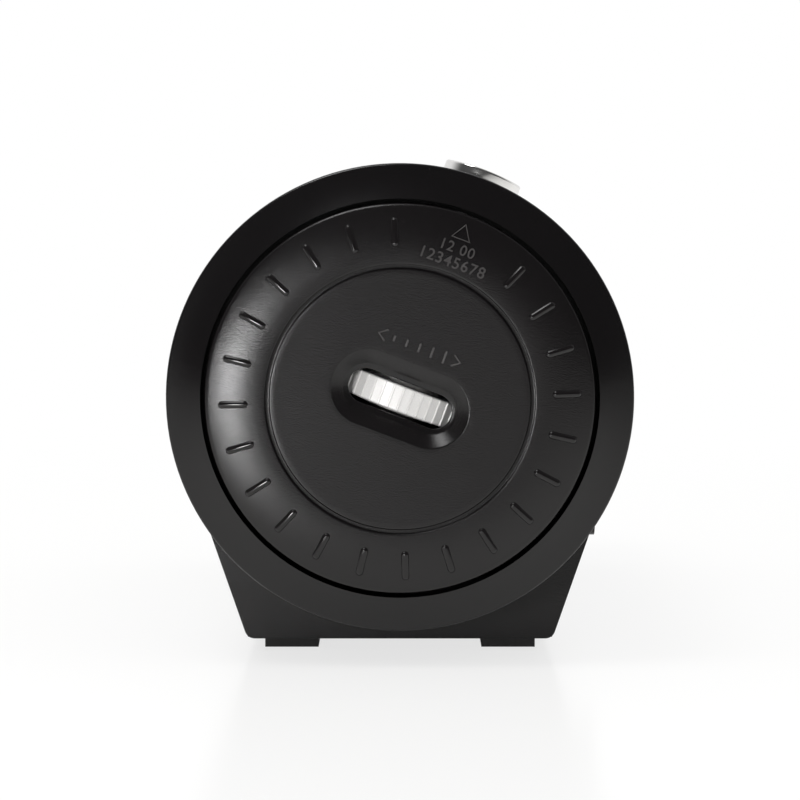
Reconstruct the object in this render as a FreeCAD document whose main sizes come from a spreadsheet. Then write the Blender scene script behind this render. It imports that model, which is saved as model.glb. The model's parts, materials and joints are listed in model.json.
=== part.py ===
"""Projection alarm clock: a horizontal drum on a sloped base, with a projector that turns on one end.

The document's frame has its origin on the table under the middle of the clock: X runs along the drum
towards the projector, Y towards the back and Z up. Lengths are millimetres and angles degrees. Inside a
sub-part the origin lies on the drum's axis, and its Placement lifts it to the axis height. The parts of
the projector are drawn with the lens straight up and are placed tilted to the back.
"""
import FreeCAD, Part
import math
import os
import Sketcher

OUT_FOLDER = "parts"

DRIVING_SIZES = {
    # the drum and the base under it
    "drum_radius": 44.0,
    "axis_height": 50.8,
    "foot_height": 2.4,
    "flank_lean": 19.2,
    "wall": 2.2,
    "plate_thickness": 2.4,
    "case_right": 65.3,
    "case_left": -81.1,
    "base_corner": 2.0,
    "fit": 0.15,
    "moving_fit": 0.3,
    "running_fit": 0.05,
    "overcut": 1.0,
    # the case bosses and screws
    "boss_radius": 4.0,
    "boss_length": 10.0,
    "boss_inset": 3.6,
    "upper_boss_angle": 50.0,
    "screw_radius": 1.25,
    "screw_head_radius": 2.4,
    "screw_head_height": 1.5,
    "screw_length": 8.0,
    "base_screw_inset": 8.0,
    "base_boss_inset": 3.85,
    "base_boss_height": 12.0,
    # the projector's drum and cover
    "swivel_gap": 0.6,
    "projector_edge": 89.8,
    "small_screw_share": 0.6,
    "collar_hole_depth": 4.0,
    "retainer_grip": 3.5,
    "retainer_head_height": 1.0,
    "bracket_screw_inset": 3.0,
    "bezel_hole_depth": 3.0,
    "cover_screw_length": 7.0,
    "rim_front": 92.6,
    "rim_width": 6.6,
    "rim_bulge": 30.0,
    "rim_round": 0.6,
    "projector_back": 2.0,
    "collar_inner_radius": 16.0,
    "collar_radius": 19.95,
    "bearing_depth": 2.0,
    "retainer_radius": 23.0,
    "retainer_thickness": 2.0,
    "rest_tilt": 20.7,
    "cover_gap": 0.8,
    "cover_skirt": 2.0,
    "cover_skirt_depth": 4.4,
    "cover_edge_front": 92.9,
    "cover_edge_round": 0.75,
    "ring_front": 94.5,
    "ring_inner_radius": 25.25,
    "ring_bulge": 34.0,
    "disc_front": 94.1,
    "groove_width": 0.8,
    "groove_depth": 0.6,
    "cover_post_inset": 6.4,
    "cover_post_radius": 3.4,
    "cover_post_drop": 6.6,
    # the raised ticks round the cover
    "tick_count": 22,
    "tick_pitch": 15.0,
    "tick_inner_radius": 28.4,
    "tick_outer_radius": 34.0,
    "tick_width": 1.6,
    "tick_inner_crest": 95.0,
    "tick_outer_crest": 94.03,
    # the focus wheel and the dish round it
    "dish_length": 26.5,
    "dish_width": 14.0,
    "dish_depth": 2.2,
    "dish_floor": 1.6,
    "dish_lip": 1.2,
    "dish_boss_margin": 4.8,
    "slot_length": 20.3,
    "slot_width": 6.6,
    "wheel_x": 79.2,
    "wheel_radius": 14.0,
    "wheel_width": 4.8,
    "wheel_facets": 46,
    "wheel_crown": 0.25,
    "hub_radius": 8.0,
    "hub_overhang": 0.6,
    # the optics along the lens axis
    "tube_radius": 7.6,
    "tube_bore": 6.1,
    "tube_gap": 0.2,
    "guide_tube_gap": 5.8,
    "lamp_tube_end": 22.0,
    "bracket_thickness": 1.6,
    "bracket_half_width": 17.0,
    "bracket_screw_height": 29.0,
    "barrel_radius": 6.0,
    "barrel_bore": 4.9,
    "barrel_low": -3.0,
    "barrel_setback": 3.0,
    "key_width": 1.6,
    "lens_thickness": 3.0,
    "lens_bulge": 12.0,
    "lens_inset": 1.0,
    "slide_depth": 8.0,
    "slide_thickness": 1.0,
    "condenser_depth": 13.0,
    "lamp_radius": 2.5,
    "lamp_height": 5.0,
    "lamp_flange": 0.5,
    "lamp_flange_height": 1.0,
    "lamp_board_half": 9.5,
    "lamp_chip_half": 3.0,
    "lamp_chip_height": 1.4,
    "slide_gate_half": 3.0,
    "board_thickness": 1.6,
    "bezel_radius": 7.5,
    "bezel_proud": 1.7,
    "bezel_opening": 4.8,
    "bezel_bore": 5.6,
    "bezel_flange": 8.6,
    "bezel_flange_thickness": 1.2,
    "window_thickness": 1.2,
    "window_depth": 2.0,
    # the top deck and its keys
    "deck_left": -62.0,
    "deck_right": 48.0,
    "deck_half_width": 14.0,
    "deck_drop": 3.0,
    "deck_thickness": 2.6,
    "deck_lip": 1.6,
    "deck_lip_thickness": 1.2,
    "key_top_drop": 1.5,
    "key_flange": 0.8,
    "key_flange_thickness": 1.2,
    "key_stem_radius": 1.8,
    "key_travel": 0.8,
    "key_stem_lift": 0.1,
    "finger_rim": 1.2,
    "finger_depth": 0.3,
    "stake_side_inset": 2.5,
    "stake_end_inset": 4.0,
    "stake_head_height": 0.8,
    "key_board_inset": 1.5,
    "deck_lip_overlap": 1.0,
    "snooze_left": -22.0,
    "snooze_length": 44.0,
    "snooze_width": 12.0,
    "button_length": 9.0,
    "button_width": 5.5,
    "button_row_offset": 5.5,
    "button_pitch": 13.0,
    "left_button_x": -50.0,
    "right_button_x": 31.0,
    "key_board_drop": 11.0,
    "key_board_half_width": 10.5,
    "stake_radius": 1.0,
    "switch_side": 5.0,
    "switch_height": 1.6,
    "plunger_radius": 1.6,
    "plunger_height": 0.9,
    # the display
    "display_left": -62.0,
    "display_right": 46.0,
    "display_upper": 52.0,
    "display_sweep": 52.0,
    "window_play": 0.2,
    "module_face_drop": 8.0,
    "module_depth": 8.0,
    "module_half_height": 15.5,
    "module_inset": 5.0,
    "module_ear": 4.0,
    "module_ear_thickness": 3.0,
    "lens_flat": 0.4,
    "module_wall": 2.0,
    "display_chip_half": 7.0,
    "display_chip_height": 2.0,
    "display_chip_half_width": 4.0,
    "board_margin": 1.0,
    "segment_thickness": 0.3,
    "digit_height": 20.0,
    "digit_width": 11.0,
    "digit_pitch": 19.0,
    "digit_slant": 0.4,
    "segment_width": 2.2,
    "colon_size": 2.4,
    # the boards, the power inlet and the switches on the back
    "board_height": -39.0,
    "board_gap": 5.1,
    "board_right": 52.0,
    "board_half_width": 21.0,
    "board_post_radius": 2.6,
    "board_post_inset": 4.0,
    "pin_proud": 1.0,
    "clock_chip_x": 22.0,
    "clock_chip_length": 12.0,
    "clock_chip_half_width": 6.0,
    "clock_chip_height": 2.0,
    "radio_chip_x": 10.0,
    "radio_chip_y": 4.0,
    "radio_chip_side": 7.0,
    "radio_chip_height": 1.6,
    "crystal_x": 24.0,
    "crystal_y": 9.0,
    "crystal_length": 9.0,
    "crystal_width": 3.0,
    "crystal_height": 3.0,
    "large_capacitor_x": 42.0,
    "large_capacitor_y": -10.0,
    "large_capacitor_radius": 4.0,
    "large_capacitor_height": 11.0,
    "small_capacitor_x": 50.0,
    "small_capacitor_y": -3.0,
    "small_capacitor_radius": 2.5,
    "small_capacitor_height": 7.0,
    "buzzer_x": 12.0,
    "buzzer_y": -10.0,
    "buzzer_radius": 4.5,
    "buzzer_height": 4.0,
    "inlet_x": 34.0,
    "inlet_z": -26.0,
    "inlet_boss_radius": 5.5,
    "inlet_proud": 2.06,
    "inlet_barrel_radius": 4.4,
    "inlet_bore": 3.2,
    "inlet_depth": 9.0,
    "inlet_length": 13.0,
    "inlet_pin": 1.0,
    "inlet_recess": 0.4,
    "inlet_boss_length": 4.0,
    "inlet_hole_length": 12.0,
    "inlet_stand_half": 4.0,
    "inlet_stand_length": 6.0,
    "inlet_pin_recess": 1.5,
    "slider_x": -30.0,
    "slider_pitch": 24.0,
    "slider_z": 4.0,
    "slider_travel": 4.0,
    "slider_knob_length": 4.0,
    "slider_knob_height": 3.0,
    "slider_knob_proud": 0.0,
    "slider_body_length": 14.0,
    "slider_body_height": 6.0,
    "slider_body_depth": 5.0,
    "slider_channel_depth": 2.5,
    "slider_knob_lift": 0.1,
    "slider_grip_rim": 1.5,
    "slider_grip_depth": 0.5,
    # the battery bay under the left half
    "cell_radius": 5.25,
    "cell_length": 44.5,
    "cell_pitch": 11.5,
    "bay_left": -62.0,
    "bay_wall": 1.4,
    "bay_clearance": 0.35,
    "contact_space": 2.2,
    "contact_thickness": 0.5,
    "door_gap": 0.15,
    "door_overlap": 3.0,
    "contact_plate_half": 4.0,
    "contact_spring_radius": 2.2,
    "contact_play": 0.1,
    "door_grip_inset": 16.0,
    "door_grip_setback": 4.0,
    "door_grip_pitch": 2.0,
    "door_grip_width": 1.0,
    "door_grip_depth": 0.6,
    # the loudspeaker end
    "speaker_cap_left": -95.0,
    "speaker_bore": 24.0,
    "speaker_flange_radius": 26.5,
    "speaker_flange_thickness": 1.2,
    "basket_radius": 22.0,
    "basket_neck": 12.0,
    "basket_depth": 12.0,
    "basket_sheet": 1.0,
    "magnet_radius": 14.0,
    "magnet_thickness": 7.0,
    "cone_radius": 20.0,
    "cone_neck": 7.0,
    "cone_depth": 8.0,
    "cone_sheet": 0.6,
    "cone_seat": 0.5,
    "cone_lip": 0.6,
    "cone_dome": 1.0,
    "cap_edge_round": 2.0,
    "grille_hole": 1.0,
    "grille_pitch": 5.0,
    "grille_rings": 4,
    # the rubber feet
    "foot_length": 12.0,
    "foot_width": 10.5,
    "foot_side_inset": 0.75,
    "foot_inset": 3.3,
    "foot_recess": 0.6,
}


class Size:
    """A length, angle or count: its value now, and the sheet expression that keeps it up to date."""

    def __init__(self, value, text):
        self.value = value
        self.text = text

    def __add__(self, other):
        other = sized(other)
        return Size(self.value + other.value, f"({self.text} + {other.text})")

    def __sub__(self, other):
        other = sized(other)
        return Size(self.value - other.value, f"({self.text} - {other.text})")

    def __mul__(self, other):
        other = sized(other)
        return Size(self.value * other.value, f"({self.text} * {other.text})")

    def __truediv__(self, other):
        other = sized(other)
        return Size(self.value / other.value, f"({self.text} / {other.text})")

    def __neg__(self):
        return Size(-self.value, f"(0 - {self.text})")

    def __radd__(self, other):
        return sized(other) + self

    def __rsub__(self, other):
        return sized(other) - self

    def __rmul__(self, other):
        return sized(other) * self


def sized(value):
    """Return the value itself if it is a Size, or a Size that holds the plain number."""
    if isinstance(value, Size):
        return value
    return Size(float(value), repr(float(value)))


def sine(angle):
    angle = sized(angle)
    return Size(math.sin(math.radians(angle.value)), f"sin({angle.text})")


def cosine(angle):
    angle = sized(angle)
    return Size(math.cos(math.radians(angle.value)), f"cos({angle.text})")


def root(square):
    return Size(math.sqrt(square.value), f"sqrt({square.text})")


doc = FreeCAD.newDocument("projection_clock")
sheet = doc.addObject("Spreadsheet::Sheet", "Sizes")
for row, (alias, number) in enumerate(DRIVING_SIZES.items(), start=1):
    sheet.set(f"A{row}", alias)
    sheet.set(f"B{row}", str(number))
    sheet.setAlias(f"B{row}", alias)
doc.recompute()


def size(alias):
    """Return the driving size that the sheet holds under this alias."""
    return Size(float(sheet.get(alias)), f"Sizes.{alias}")


class Sheet:
    """Gives each driving size as an attribute, so that the model reads S.drum_radius."""

    def __getattr__(self, alias):
        return size(alias)


S = Sheet()
ZERO = sized(0)

AXIS_TURNS = {
    "x": FreeCAD.Rotation(FreeCAD.Vector(0, 1, 0), 90),
    "y": FreeCAD.Rotation(FreeCAD.Vector(1, 0, 0), -90),
    "z": FreeCAD.Rotation(FreeCAD.Vector(1, 0, 0), 0),
}


def bind(item, **expressions):
    """Tie properties of a document object to sizes; two underscores in a name stand for a dot."""
    for prop, value in expressions.items():
        item.setExpression(prop.replace("__", "."), sized(value).text)


def move(item, x=0, y=0, z=0, angle=None, about=(1, 0, 0)):
    """Bind an object's Placement: its base point, and an angle about the given axis."""
    if angle is not None:
        item.Placement = FreeCAD.Placement(FreeCAD.Vector(), FreeCAD.Rotation(FreeCAD.Vector(*about), 1))
        bind(item, Placement__Rotation__Angle=angle)
    bind(item, Placement__Base__x=x, Placement__Base__y=y, Placement__Base__z=z)
    return item


def box(name, x, y, z):
    """Make a box between the given pairs of limits."""
    item = doc.addObject("Part::Box", name)
    (x0, x1), (y0, y1), (z0, z1) = [(sized(low), sized(high)) for low, high in (x, y, z)]
    bind(item, Length=x1 - x0, Width=y1 - y0, Height=z1 - z0)
    return move(item, x0, y0, z0)


def rod(name, axis, radius, start, end, across=(0, 0)):
    """Make a cylinder along x, y or z; across holds its other two coordinates in their usual order."""
    item = doc.addObject("Part::Cylinder", name)
    item.Placement = FreeCAD.Placement(FreeCAD.Vector(), AXIS_TURNS[axis])
    start = sized(start)
    bind(item, Radius=radius, Height=sized(end) - start)
    place = list(across)
    place.insert("xyz".index(axis), start)
    return move(item, *place)


def fuse(name, *pieces):
    item = doc.addObject("Part::MultiFuse", name)
    item.Shapes = list(pieces)
    return item


def cut(name, base, *tools):
    """Cut the tools out of the base; several tools are joined first."""
    tool = tools[0] if len(tools) == 1 else fuse(f"{name}_tools", *tools)
    item = doc.addObject("Part::Cut", name)
    item.Base = base
    item.Tool = tool
    return item


def common(name, first, second):
    item = doc.addObject("Part::Common", name)
    item.Base = first
    item.Tool = second
    return item


def group(name, *pieces):
    """Keep several like pieces as separate solids of one sub-part."""
    item = doc.addObject("Part::Compound", name)
    item.Links = list(pieces)
    return item


def origin_plane(body, role):
    return next(feature for feature in body.Origin.OriginFeatures if feature.Role == role)


def arc_between(start, end, radius, side):
    """Return the arc from start to end, bulging to the left for side 1 or the right for side -1."""
    chord = end - start
    half = chord.Length / 2
    normal = FreeCAD.Vector(-chord.y, chord.x, 0).normalize()
    centre = (start + end) * 0.5 - normal * side * math.sqrt(radius * radius - half * half)
    first, last = (start, end) if side < 0 else (end, start)
    angles = [math.atan2(point.y - centre.y, point.x - centre.x) for point in (first, last)]
    if angles[1] < angles[0]:
        angles[1] += 2 * math.pi
    return Part.ArcOfCircle(Part.Circle(centre, FreeCAD.Vector(0, 0, 1), radius), *angles)


class Bulge:
    """Stands between two outline points and makes the edge between them an arc."""

    def __init__(self, radius, side):
        self.radius = radius
        self.side = side


def add_outline(sketch, outline):
    """Draw a closed outline of points, with a Bulge between two points that an arc joins."""
    points = [tuple(map(sized, item)) for item in outline if not isinstance(item, Bulge)]
    bulges = {}
    count = 0
    for item in outline:
        if isinstance(item, Bulge):
            bulges[count - 1] = item
        else:
            count += 1
    ends = []
    for index, (across, up) in enumerate(points):
        start = FreeCAD.Vector(across.value, up.value, 0)
        end = FreeCAD.Vector(*[part.value for part in points[(index + 1) % count]], 0)
        bulge = bulges.get(index)
        if bulge is None:
            geometry = sketch.addGeometry(Part.LineSegment(start, end), False)
            ends.append((geometry, 1, 2))
            continue
        radius = sized(bulge.radius)
        geometry = sketch.addGeometry(arc_between(start, end, radius.value, bulge.side), False)
        ends.append((geometry, 1, 2) if bulge.side < 0 else (geometry, 2, 1))
        limit = sketch.addConstraint(Sketcher.Constraint("Radius", geometry, radius.value))
        sketch.setExpression(f"Constraints[{limit}]", radius.text)
    for index, (geometry, first, last) in enumerate(ends):
        following = ends[(index + 1) % count]
        sketch.addConstraint(Sketcher.Constraint("Coincident", geometry, last, following[0], following[1]))
    for (geometry, first, last), place in zip(ends, points):
        for kind, axis, coordinate in (("DistanceX", -2, place[0]), ("DistanceY", -1, place[1])):
            if coordinate.value == 0:
                sketch.addConstraint(Sketcher.Constraint("PointOnObject", geometry, first, axis))
                continue
            limit = sketch.addConstraint(Sketcher.Constraint(kind, geometry, first, coordinate.value))
            sketch.setExpression(f"Constraints[{limit}]", coordinate.text)


def sketch_on(body, role, offset=None):
    """Start a sketch on one of the body's own origin planes, moved along its normal by the offset."""
    sketch = body.newObject("Sketcher::SketchObject", f"{body.Name}_sketch")
    sketch.AttachmentSupport = (origin_plane(body, role), [""])
    sketch.MapMode = "FlatFace"
    if offset is not None:
        bind(sketch, AttachmentOffset__Base__z=offset)
    return sketch


def turned(name, axis, outline, angle=360):
    """Turn an outline about X, with points (x, radius), or about Z, with points (radius, z)."""
    body = doc.addObject("PartDesign::Body", name)
    sketch = sketch_on(body, "XZ_Plane")
    add_outline(sketch, outline)
    feature = body.newObject("PartDesign::Revolution", f"{name}_revolution")
    feature.Profile = sketch
    feature.ReferenceAxis = (sketch, ["H_Axis" if axis == "x" else "V_Axis"])
    bind(feature, Angle=angle)
    return body


def extruded(name, outline, start, end):
    """Extrude an outline of (y, z) points along X between two places."""
    body = doc.addObject("PartDesign::Body", name)
    sketch = sketch_on(body, "YZ_Plane", sized(start))
    add_outline(sketch, outline)
    feature = body.newObject("PartDesign::Pad", f"{name}_pad")
    feature.Profile = sketch
    bind(feature, Length=sized(end) - start)
    return body


def round_edges(body, radius, wanted):
    """Round the edges of the body's last feature that the wanted test picks."""
    doc.recompute()
    last = body.Tip
    names = [f"Edge{index}" for index, edge in enumerate(last.Shape.Edges, start=1) if wanted(edge)]
    feature = body.newObject("PartDesign::Fillet", f"{body.Name}_round")
    feature.Base = (last, names)
    bind(feature, Radius=radius)
    return body


def circle_at(axis, place, radius):
    """Return a test that picks the circular edge of this radius at this place along the axis."""
    def wanted(edge):
        curve = edge.Curve
        if not isinstance(curve, Part.Circle):
            return False
        return (abs(getattr(curve.Center, axis) - place.value) < 0.01
                and abs(curve.Radius - radius.value) < 0.01)
    return wanted


NODES = []


def case_part(item, label):
    """Name a finished sub-part of the case, and lift its own origin to the axis height."""
    item.Label = label
    NODES.append(item)
    return move(item, z=S.axis_height)


def tilted_part(item, label, angle):
    """Name a finished sub-part that is drawn level and turned about the drum's axis."""
    item.Label = label
    NODES.append(item)
    return move(item, z=S.axis_height, angle=angle)


def projector_part(item, label):
    return tilted_part(item, label, -S.rest_tilt)


# the case: outlines shared by the shells, the end plates and the bottom cover
BASE_Z = S.foot_height - S.axis_height
LEAN_SINE = sine(S.flank_lean)
LEAN_COSINE = cosine(S.flank_lean)
SHELL_INNER = S.drum_radius - S.wall
LEFT_PLATE_LEFT = S.case_left - S.plate_thickness
PLATE_RIGHT = S.case_right + S.plate_thickness
BOSS_CIRCLE = SHELL_INNER - S.boss_inset
DECK_HEIGHT = S.drum_radius - S.deck_drop
KEY_TOP = S.drum_radius - S.key_top_drop
KEY_BOARD_TOP = S.drum_radius - S.key_board_drop
MODULE_FACE = S.drum_radius - S.module_face_drop
RIM_INNER_RADIUS = S.drum_radius - S.rim_width
POST_CIRCLE = RIM_INNER_RADIUS - S.cover_post_inset
POST_SPLIT = S.rim_front - S.cover_post_drop
GUIDE_TUBE_END = SHELL_INNER - S.guide_tube_gap
BARREL_HIGH = GUIDE_TUBE_END - S.barrel_setback


def flank_y(height, radius):
    """Return how far out the sloped flank that touches this radius stands at a height."""
    return (radius + height * LEAN_SINE) / LEAN_COSINE


COVER_HALF = flank_y(BASE_Z, SHELL_INNER) - S.fit
BASE_BOSS_Y = COVER_HALF - S.base_boss_inset
FOOT_OUTER = COVER_HALF - S.foot_side_inset
INLET_FACE = flank_y(S.inlet_z, S.drum_radius) + S.inlet_proud


def half_outline(radius, bottom, side):
    """Outline half of the case's section, up to the circle of this radius, for the back or the front."""
    return [
        (0, radius),
        Bulge(radius, side),
        (side * radius * LEAN_COSINE, -radius * LEAN_SINE),
        (side * flank_y(bottom, radius), bottom),
        (0, bottom),
    ]


def base_outline():
    """Outline the whole section of the case: the drum's circle run into the two flanks."""
    radius = S.drum_radius
    return [
        (0, radius),
        Bulge(radius, 1),
        (radius * LEAN_COSINE, -radius * LEAN_SINE),
        (flank_y(BASE_Z, radius), BASE_Z),
        (-flank_y(BASE_Z, radius), BASE_Z),
        (-radius * LEAN_COSINE, -radius * LEAN_SINE),
        Bulge(radius, 1),
    ]


def low_corner(edge):
    """Pick the edges that run along X at the foot of a flank."""
    box_of_edge = edge.BoundBox
    return box_of_edge.XLength > 1 and box_of_edge.ZMax < BASE_Z.value + 0.01


BOSS_PLACES = [
    (BOSS_CIRCLE * cosine(S.upper_boss_angle), BOSS_CIRCLE * sine(S.upper_boss_angle)),
    (BOSS_CIRCLE * LEAN_COSINE, -BOSS_CIRCLE * LEAN_SINE),
]
BASE_SCREW_X = [S.case_left + S.base_screw_inset, S.case_right - S.base_screw_inset]
COVER_TOP = BASE_Z + S.wall


def half_case(name, side):
    """Make one half of the shell with its screw bosses, open at both ends and underneath."""
    outer = extruded(f"{name}_outer", half_outline(S.drum_radius, BASE_Z, side), S.case_left, S.case_right)
    inner = extruded(f"{name}_inner", half_outline(SHELL_INNER, BASE_Z, side), S.case_left, S.case_right)
    pieces = [cut(f"{name}_shell", outer, inner)]
    holes = []
    for index, (across, up) in enumerate(BOSS_PLACES):
        for end, start, stop in (("left", S.case_left, S.case_left + S.boss_length),
                                 ("right", S.case_right - S.boss_length, S.case_right)):
            place = (side * across, up)
            pieces.append(rod(f"{name}_boss_{end}_{index}", "x", S.boss_radius, start, stop, place))
            holes.append(rod(f"{name}_hole_{end}_{index}", "x", S.screw_radius + S.running_fit,
                             start, stop, place))
    for index, place_x in enumerate(BASE_SCREW_X):
        place = (place_x, side * BASE_BOSS_Y)
        top = COVER_TOP + S.base_boss_height
        pieces.append(rod(f"{name}_base_boss_{index}", "z", S.boss_radius, COVER_TOP, top, place))
        reach = flank_y(COVER_TOP, S.drum_radius - S.wall / 2)
        limits = (side * BASE_BOSS_Y, side * reach)
        pieces.append(box(f"{name}_base_rib_{index}", (place_x - S.wall / 2, place_x + S.wall / 2),
                          sorted(limits, key=lambda limit: sized(limit).value), (COVER_TOP, top)))
        holes.append(rod(f"{name}_base_hole_{index}", "z", S.screw_radius + S.running_fit,
                         COVER_TOP, top, place))
    envelope = extruded(f"{name}_envelope", half_outline(S.drum_radius, BASE_Z, side),
                        S.case_left, S.case_right)
    solid = common(f"{name}_trimmed", fuse(f"{name}_pieces", *pieces), envelope)
    deck_half = S.deck_half_width + S.fit
    holes.append(box(f"{name}_deck_opening", (S.deck_left - S.fit, S.deck_right + S.fit),
                     (-deck_half, deck_half), (DECK_HEIGHT - S.wall * 2, S.drum_radius)))
    return solid, holes


def screws(label, places, axis, under_head, direction, length=None):
    """Make a set of screws whose heads lie at one level; the direction is the way the shanks point."""
    length = S.screw_length if length is None else length
    made = []
    for index, place in enumerate(places):
        name = f"{label}_{index}"
        head = sorted([under_head, under_head - direction * S.screw_head_height], key=lambda item: item.value)
        shank = sorted([under_head, under_head + direction * length], key=lambda item: item.value)
        made.append(fuse(name, rod(f"{name}_head", axis, S.screw_head_radius, *head, place),
                         rod(f"{name}_shank", axis, S.screw_radius, *shank, place)))
    return group(label, *made)


def side_places(places):
    """Return the places with their mirror images at the front."""
    return [(side * across, up) for side in (1, -1) for across, up in places]


front_solid, front_holes = half_case("front_half", -1)
window_opening = turned("front_window_opening", "x", [
    (S.display_left - S.fit, SHELL_INNER - S.overcut),
    (S.display_right + S.fit, SHELL_INNER - S.overcut),
    (S.display_right + S.fit, S.drum_radius + S.overcut),
    (S.display_left - S.fit, S.drum_radius + S.overcut),
], S.display_sweep + S.window_play * 2)
front_holes.append(move(window_opening, angle=S.display_upper - S.window_play))
case_part(cut("front_case", front_solid, *front_holes), "front_case")

SLIDER_CENTRES = [S.slider_x, S.slider_x + S.slider_pitch]
SLIDER_Y = root(SHELL_INNER * SHELL_INNER - (S.slider_z + S.slider_body_height / 2)
                * (S.slider_z + S.slider_body_height / 2)) - S.fit
rear_solid, rear_holes = half_case("rear_half", 1)
inlet_place = (S.inlet_x, S.inlet_z)
rear_pieces = fuse("rear_with_boss", rear_solid,
                   rod("inlet_boss", "y", S.inlet_boss_radius, INLET_FACE - S.inlet_boss_length,
                       INLET_FACE, inlet_place))
rear_holes.append(rod("inlet_hole", "y", S.inlet_barrel_radius + S.fit, INLET_FACE - S.inlet_hole_length,
                      INLET_FACE + S.overcut, inlet_place))
for index, centre in enumerate(SLIDER_CENTRES):
    reach = (S.slider_knob_length + S.slider_travel) / 2 + S.moving_fit
    half = S.slider_knob_height / 2 + S.moving_fit
    rear_holes.append(box(f"slider_slot_{index}", (centre - reach, centre + reach),
                          (SLIDER_Y - S.overcut, S.drum_radius + S.overcut),
                          (S.slider_z - half, S.slider_z + half)))
CELL_RUN = S.cell_length + S.contact_space * 2
BAY_RIGHT = S.bay_left + CELL_RUN
BOARD_LEFT = BAY_RIGHT + S.board_gap
BAY_FRONT = -S.cell_pitch / 2 - S.cell_radius - S.bay_clearance
BAY_BACK = S.cell_pitch / 2 + S.cell_radius + S.bay_clearance
CELL_Z = COVER_TOP + S.bay_clearance + S.cell_radius
BAY_TOP = CELL_Z + S.cell_radius + S.bay_clearance
DOOR_LEFT = S.bay_left - S.door_overlap / 2
DOOR_RIGHT = BAY_RIGHT + S.door_overlap / 2
DOOR_BACK = flank_y(BASE_Z, S.drum_radius) - S.base_corner
rear_holes.append(box("door_notch", (DOOR_LEFT - S.moving_fit, DOOR_RIGHT + S.moving_fit),
                      (BASE_BOSS_Y, S.drum_radius), (BASE_Z - S.overcut, COVER_TOP + S.door_gap)))
case_part(cut("rear_case", rear_pieces, *rear_holes), "rear_case")

# the two end plates, with the bearing for the projector and the seat of the loudspeaker
bore = S.collar_radius + S.running_fit
right_blank = round_edges(extruded("right_blank", base_outline(), S.case_right, PLATE_RIGHT),
                          S.base_corner, low_corner)
bearing_ring = rod("bearing_ring", "x", S.retainer_radius, S.case_right - S.bearing_depth, PLATE_RIGHT)
screw_hole = S.screw_radius + S.running_fit
right_holes = [rod("bearing_bore", "x", bore, S.case_right - S.bearing_depth - S.overcut,
                   PLATE_RIGHT + S.overcut)]
left_holes = [rod("speaker_bore", "x", S.speaker_bore, LEFT_PLATE_LEFT - S.overcut, S.case_left + S.overcut)]
for index, place in enumerate(side_places(BOSS_PLACES)):
    right_holes.append(rod(f"right_hole_{index}", "x", screw_hole, S.case_right, PLATE_RIGHT, place))
    right_holes.append(rod(f"right_sink_{index}", "x", S.screw_head_radius + S.fit,
                           PLATE_RIGHT - S.screw_head_height, PLATE_RIGHT, place))
    left_holes.append(rod(f"left_hole_{index}", "x", screw_hole, LEFT_PLATE_LEFT, S.case_left, place))
    left_holes.append(rod(f"left_sink_{index}", "x", S.screw_head_radius + S.fit, LEFT_PLATE_LEFT,
                          LEFT_PLATE_LEFT + S.screw_head_height, place))
case_part(cut("end_plate", fuse("right_plate_with_ring", right_blank, bearing_ring), *right_holes),
          "end_plate")
left_blank = round_edges(extruded("left_blank", base_outline(), LEFT_PLATE_LEFT, S.case_left),
                         S.base_corner, low_corner)
case_part(cut("left_end_plate", left_blank, *left_holes), "left_end_plate")
case_part(screws("end_plate_screws", side_places(BOSS_PLACES), "x",
                 PLATE_RIGHT - S.screw_head_height, -1), "end_plate_screws")
case_part(screws("left_plate_screws", side_places(BOSS_PLACES), "x",
                 LEFT_PLATE_LEFT + S.screw_head_height, 1), "left_plate_screws")

# the bottom cover with the battery bay, its sliding door, cells and contacts
bay = cut("bay_box",
          box("bay_outer", (S.bay_left - S.bay_wall, BAY_RIGHT + S.bay_wall),
              (BAY_FRONT - S.bay_wall, BAY_BACK + S.bay_wall), (COVER_TOP, BAY_TOP + S.bay_wall)),
          box("bay_inner", (S.bay_left, BAY_RIGHT), (BAY_FRONT, BAY_BACK), (COVER_TOP, BAY_TOP)))
cover_blank = fuse("cover_with_bay", bay,
                   box("cover_plate", (S.case_left + S.fit, S.case_right - S.fit),
                       (-COVER_HALF, COVER_HALF), (BASE_Z, COVER_TOP)))
cover_holes = [
    box("door_opening", (DOOR_LEFT - S.moving_fit, DOOR_RIGHT + S.moving_fit),
        (BAY_FRONT, COVER_HALF + S.overcut), (BASE_Z - S.overcut, COVER_TOP)),
]
base_places = [(place_x, side * BASE_BOSS_Y) for side in (1, -1) for place_x in BASE_SCREW_X]
for index, place in enumerate(base_places):
    cover_holes.append(rod(f"base_hole_{index}", "z", screw_hole, BASE_Z, COVER_TOP, place))
    cover_holes.append(rod(f"base_sink_{index}", "z", S.screw_head_radius + S.fit, BASE_Z,
                           BASE_Z + S.screw_head_height, place))
FOOT_TOP = BASE_Z + S.foot_recess
foot_centres = []
for side in (1, -1):
    foot_y = side * (FOOT_OUTER - S.foot_width / 2)
    foot_centres.append((S.case_right - S.foot_inset - S.foot_length / 2, foot_y))
    foot_centres.append((S.case_left + S.foot_inset + S.foot_length / 2, foot_y))
case_part(cut("bottom_cover", cover_blank, *cover_holes), "bottom_cover")
case_part(screws("base_screws", base_places, "z", BASE_Z + S.screw_head_height, 1), "base_screws")
door_plate = box("door_plate", (DOOR_LEFT, DOOR_RIGHT), (BAY_FRONT + S.moving_fit, DOOR_BACK),
                 (BASE_Z, COVER_TOP - S.door_gap))
grip_fronts = [DOOR_BACK - S.door_grip_setback - S.door_grip_pitch * index for index in range(3)]
door_grips = [box(f"door_grip_{index}", (DOOR_LEFT + S.door_grip_inset, DOOR_RIGHT - S.door_grip_inset),
                  (front, front + S.door_grip_width), (BASE_Z - S.overcut, BASE_Z + S.door_grip_depth))
              for index, front in enumerate(grip_fronts)]
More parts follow.
